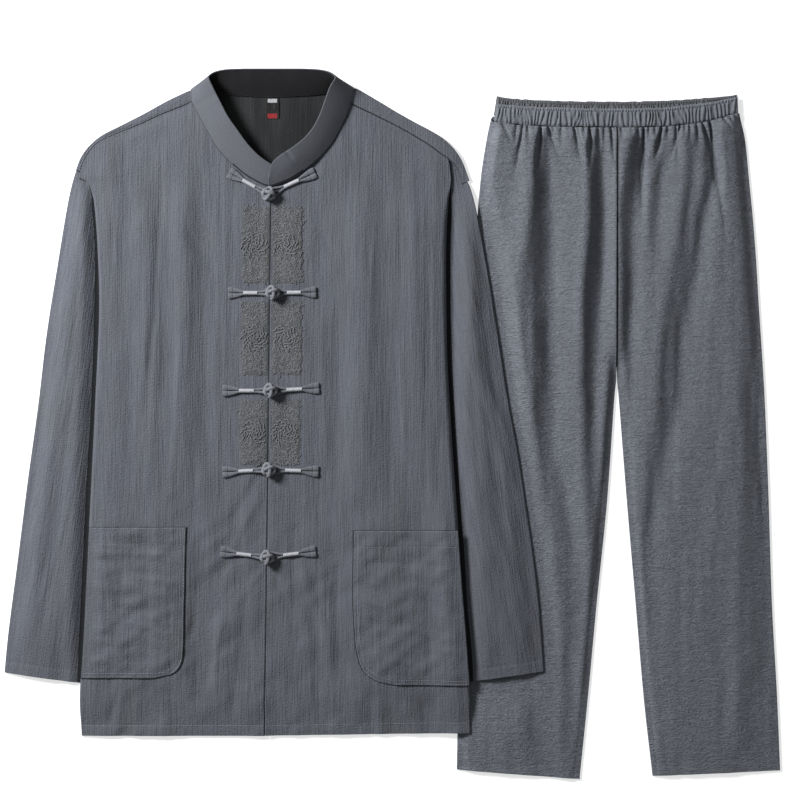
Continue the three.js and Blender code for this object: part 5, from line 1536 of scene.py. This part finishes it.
threadwork_right = embroidery("embroidery_right", -1, 101)
threadwork_left = embroidery("embroidery_left", 1, 201)

# The neck label: a plain satin tab with a light bar at its head and a red one at its foot
LABEL = (5.5, 804, 18, 28)


def neck_label():
    x = np.linspace(LABEL[0] - LABEL[2] / 2, LABEL[0] + LABEL[2] / 2, 19)[None, :]
    y = np.linspace(LABEL[1] - LABEL[3] / 2, LABEL[1] + LABEL[3] / 2, 29)[:, None]
    z = 1.75 + 0.5 * np.sin(math.pi * clamp01((LABEL[1] + 14 - y) / 28)) + 0.15 * noise(x / 5, y / 6, 5)
    outer = stack(x, y, z)

    def paint(middles, faces, count):
        up = middles[:, 2] > 1.2
        column = np.abs(middles[:, 0] - LABEL[0])
        grey = up & (column < 6) & (middles[:, 1] > LABEL[1] + 6.5) & (middles[:, 1] < LABEL[1] + 12.5)
        red = up & (column < 6.5) & (middles[:, 1] < LABEL[1] - 6.5) & (middles[:, 1] > LABEL[1] - 13)
        return np.where(grey, 1, np.where(red, 2, 0))

    materials = [black_satin, grey_satin, red_satin]
    inner = outer - np.array([0, 0, 0.6])
    rims = (0.6, 0.6, 0.6, 0.6)
    return shell("neck_label_satin", outer, inner, materials, JACKET_AT, rims=rims, paint=paint)


label = neck_label()
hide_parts("neck_label")

# Topstitching on the jacket
paths = []
for outline, out in ((RIGHT_FRONT, -1), (LEFT_FRONT, 1)):
    side, edge, foot = curve(outline, 1), curve(outline, 2), outline[0][0]
    x = np.linspace(side(foot + 13) - out * 3, edge(foot + 13) + out * 1.5, 120)
    y = foot + HEM_DEPTH - hem_slant(x, foot, out)
    paths.append(path_on(front_top, x, y))
for outline, side, inset, seed in ((RIGHT_POCKET, right_side, 1, 61), (LEFT_POCKET, left_side, -1, 65)):
    inner_edge, foot, head = curve(outline, 1), outline[0][0], outline[-1][0]

    def on_pocket(px, py):
        return pocket_top(outline, side, seed, px, py) - 0.05

    y = np.linspace(foot + 7, head - 2, 140)
    for gap in (2.0, 6.5):
        paths.append(path_on(on_pocket, inner_edge(np.maximum(y - 0.7 * gap, foot)) - inset * gap, y))
    near, far = side(foot) + inset * 3, inner_edge(foot + 2) - inset * 2
    for gap in (2.2, 6.5):
        x = np.linspace(near, far, 60)
        paths.append(path_on(on_pocket, x, foot + gap + 0 * x))
    x = np.linspace(side(head - 22) + inset * 3, inner_edge(head - 22) - inset * 2, 80)
    for y in (head - 2, head - 22):
        paths.append(path_on(on_pocket, x, y + 0 * x))
points, faces = stitches(paths)
jacket_stitching = make_object("jacket_topstitching", points, faces, [sewing_thread], at=JACKET_AT)

# Studio: pale floor, one large soft light from the left, and an even fill
floor_mesh = bpy.data.meshes.new("floor")
floor_mesh.from_pydata([(-4, -4, 0), (4, -4, 0), (4, 4, 0), (-4, 4, 0)], [], [(0, 1, 2, 3)])
floor_material, floor_tree, floor_shader = base_material("floor", 0.9)
floor_place = node(floor_tree, "ShaderNodeTexCoord").outputs["Object"]
floor_grain = stretched_noise(floor_tree, floor_place, (60, 60, 60), 1.0)
floor_tone = mixed(floor_tree, floor_grain, (0.86, 0.86, 0.86, 1), (0.9, 0.9, 0.9, 1))
floor_tree.links.new(floor_tone, floor_shader.inputs["Base Color"])
floor_shader.inputs["Emission Color"].default_value = (1, 1, 1, 1)
floor_shader.inputs["Emission Strength"].default_value = 0.6
floor_mesh.materials.append(floor_material)
floor = bpy.data.objects.new("floor", floor_mesh)
floor.location = (0, 0, -0.0002)
bpy.context.collection.objects.link(floor)

LIGHT_AT = Vector((-1.6, 1.0, 1.3))
light = bpy.data.lights.new("key_light", "AREA")
light.shape = "SQUARE"
light.size = 0.6
light.energy = 70
light_object = bpy.data.objects.new("key_light", light)
light_object.location = LIGHT_AT
light_object.rotation_euler = (-LIGHT_AT).to_track_quat("-Z", "Y").to_euler()
bpy.context.collection.objects.link(light_object)
world = bpy.data.worlds.new("studio")
world.use_nodes = True
world.node_tree.nodes["Background"].inputs["Color"].default_value = (0.96, 0.98, 1.0, 1)
world.node_tree.nodes["Background"].inputs["Strength"].default_value = 0.17
bpy.context.scene.world = world
bpy.context.scene.view_settings.view_transform = "Standard"
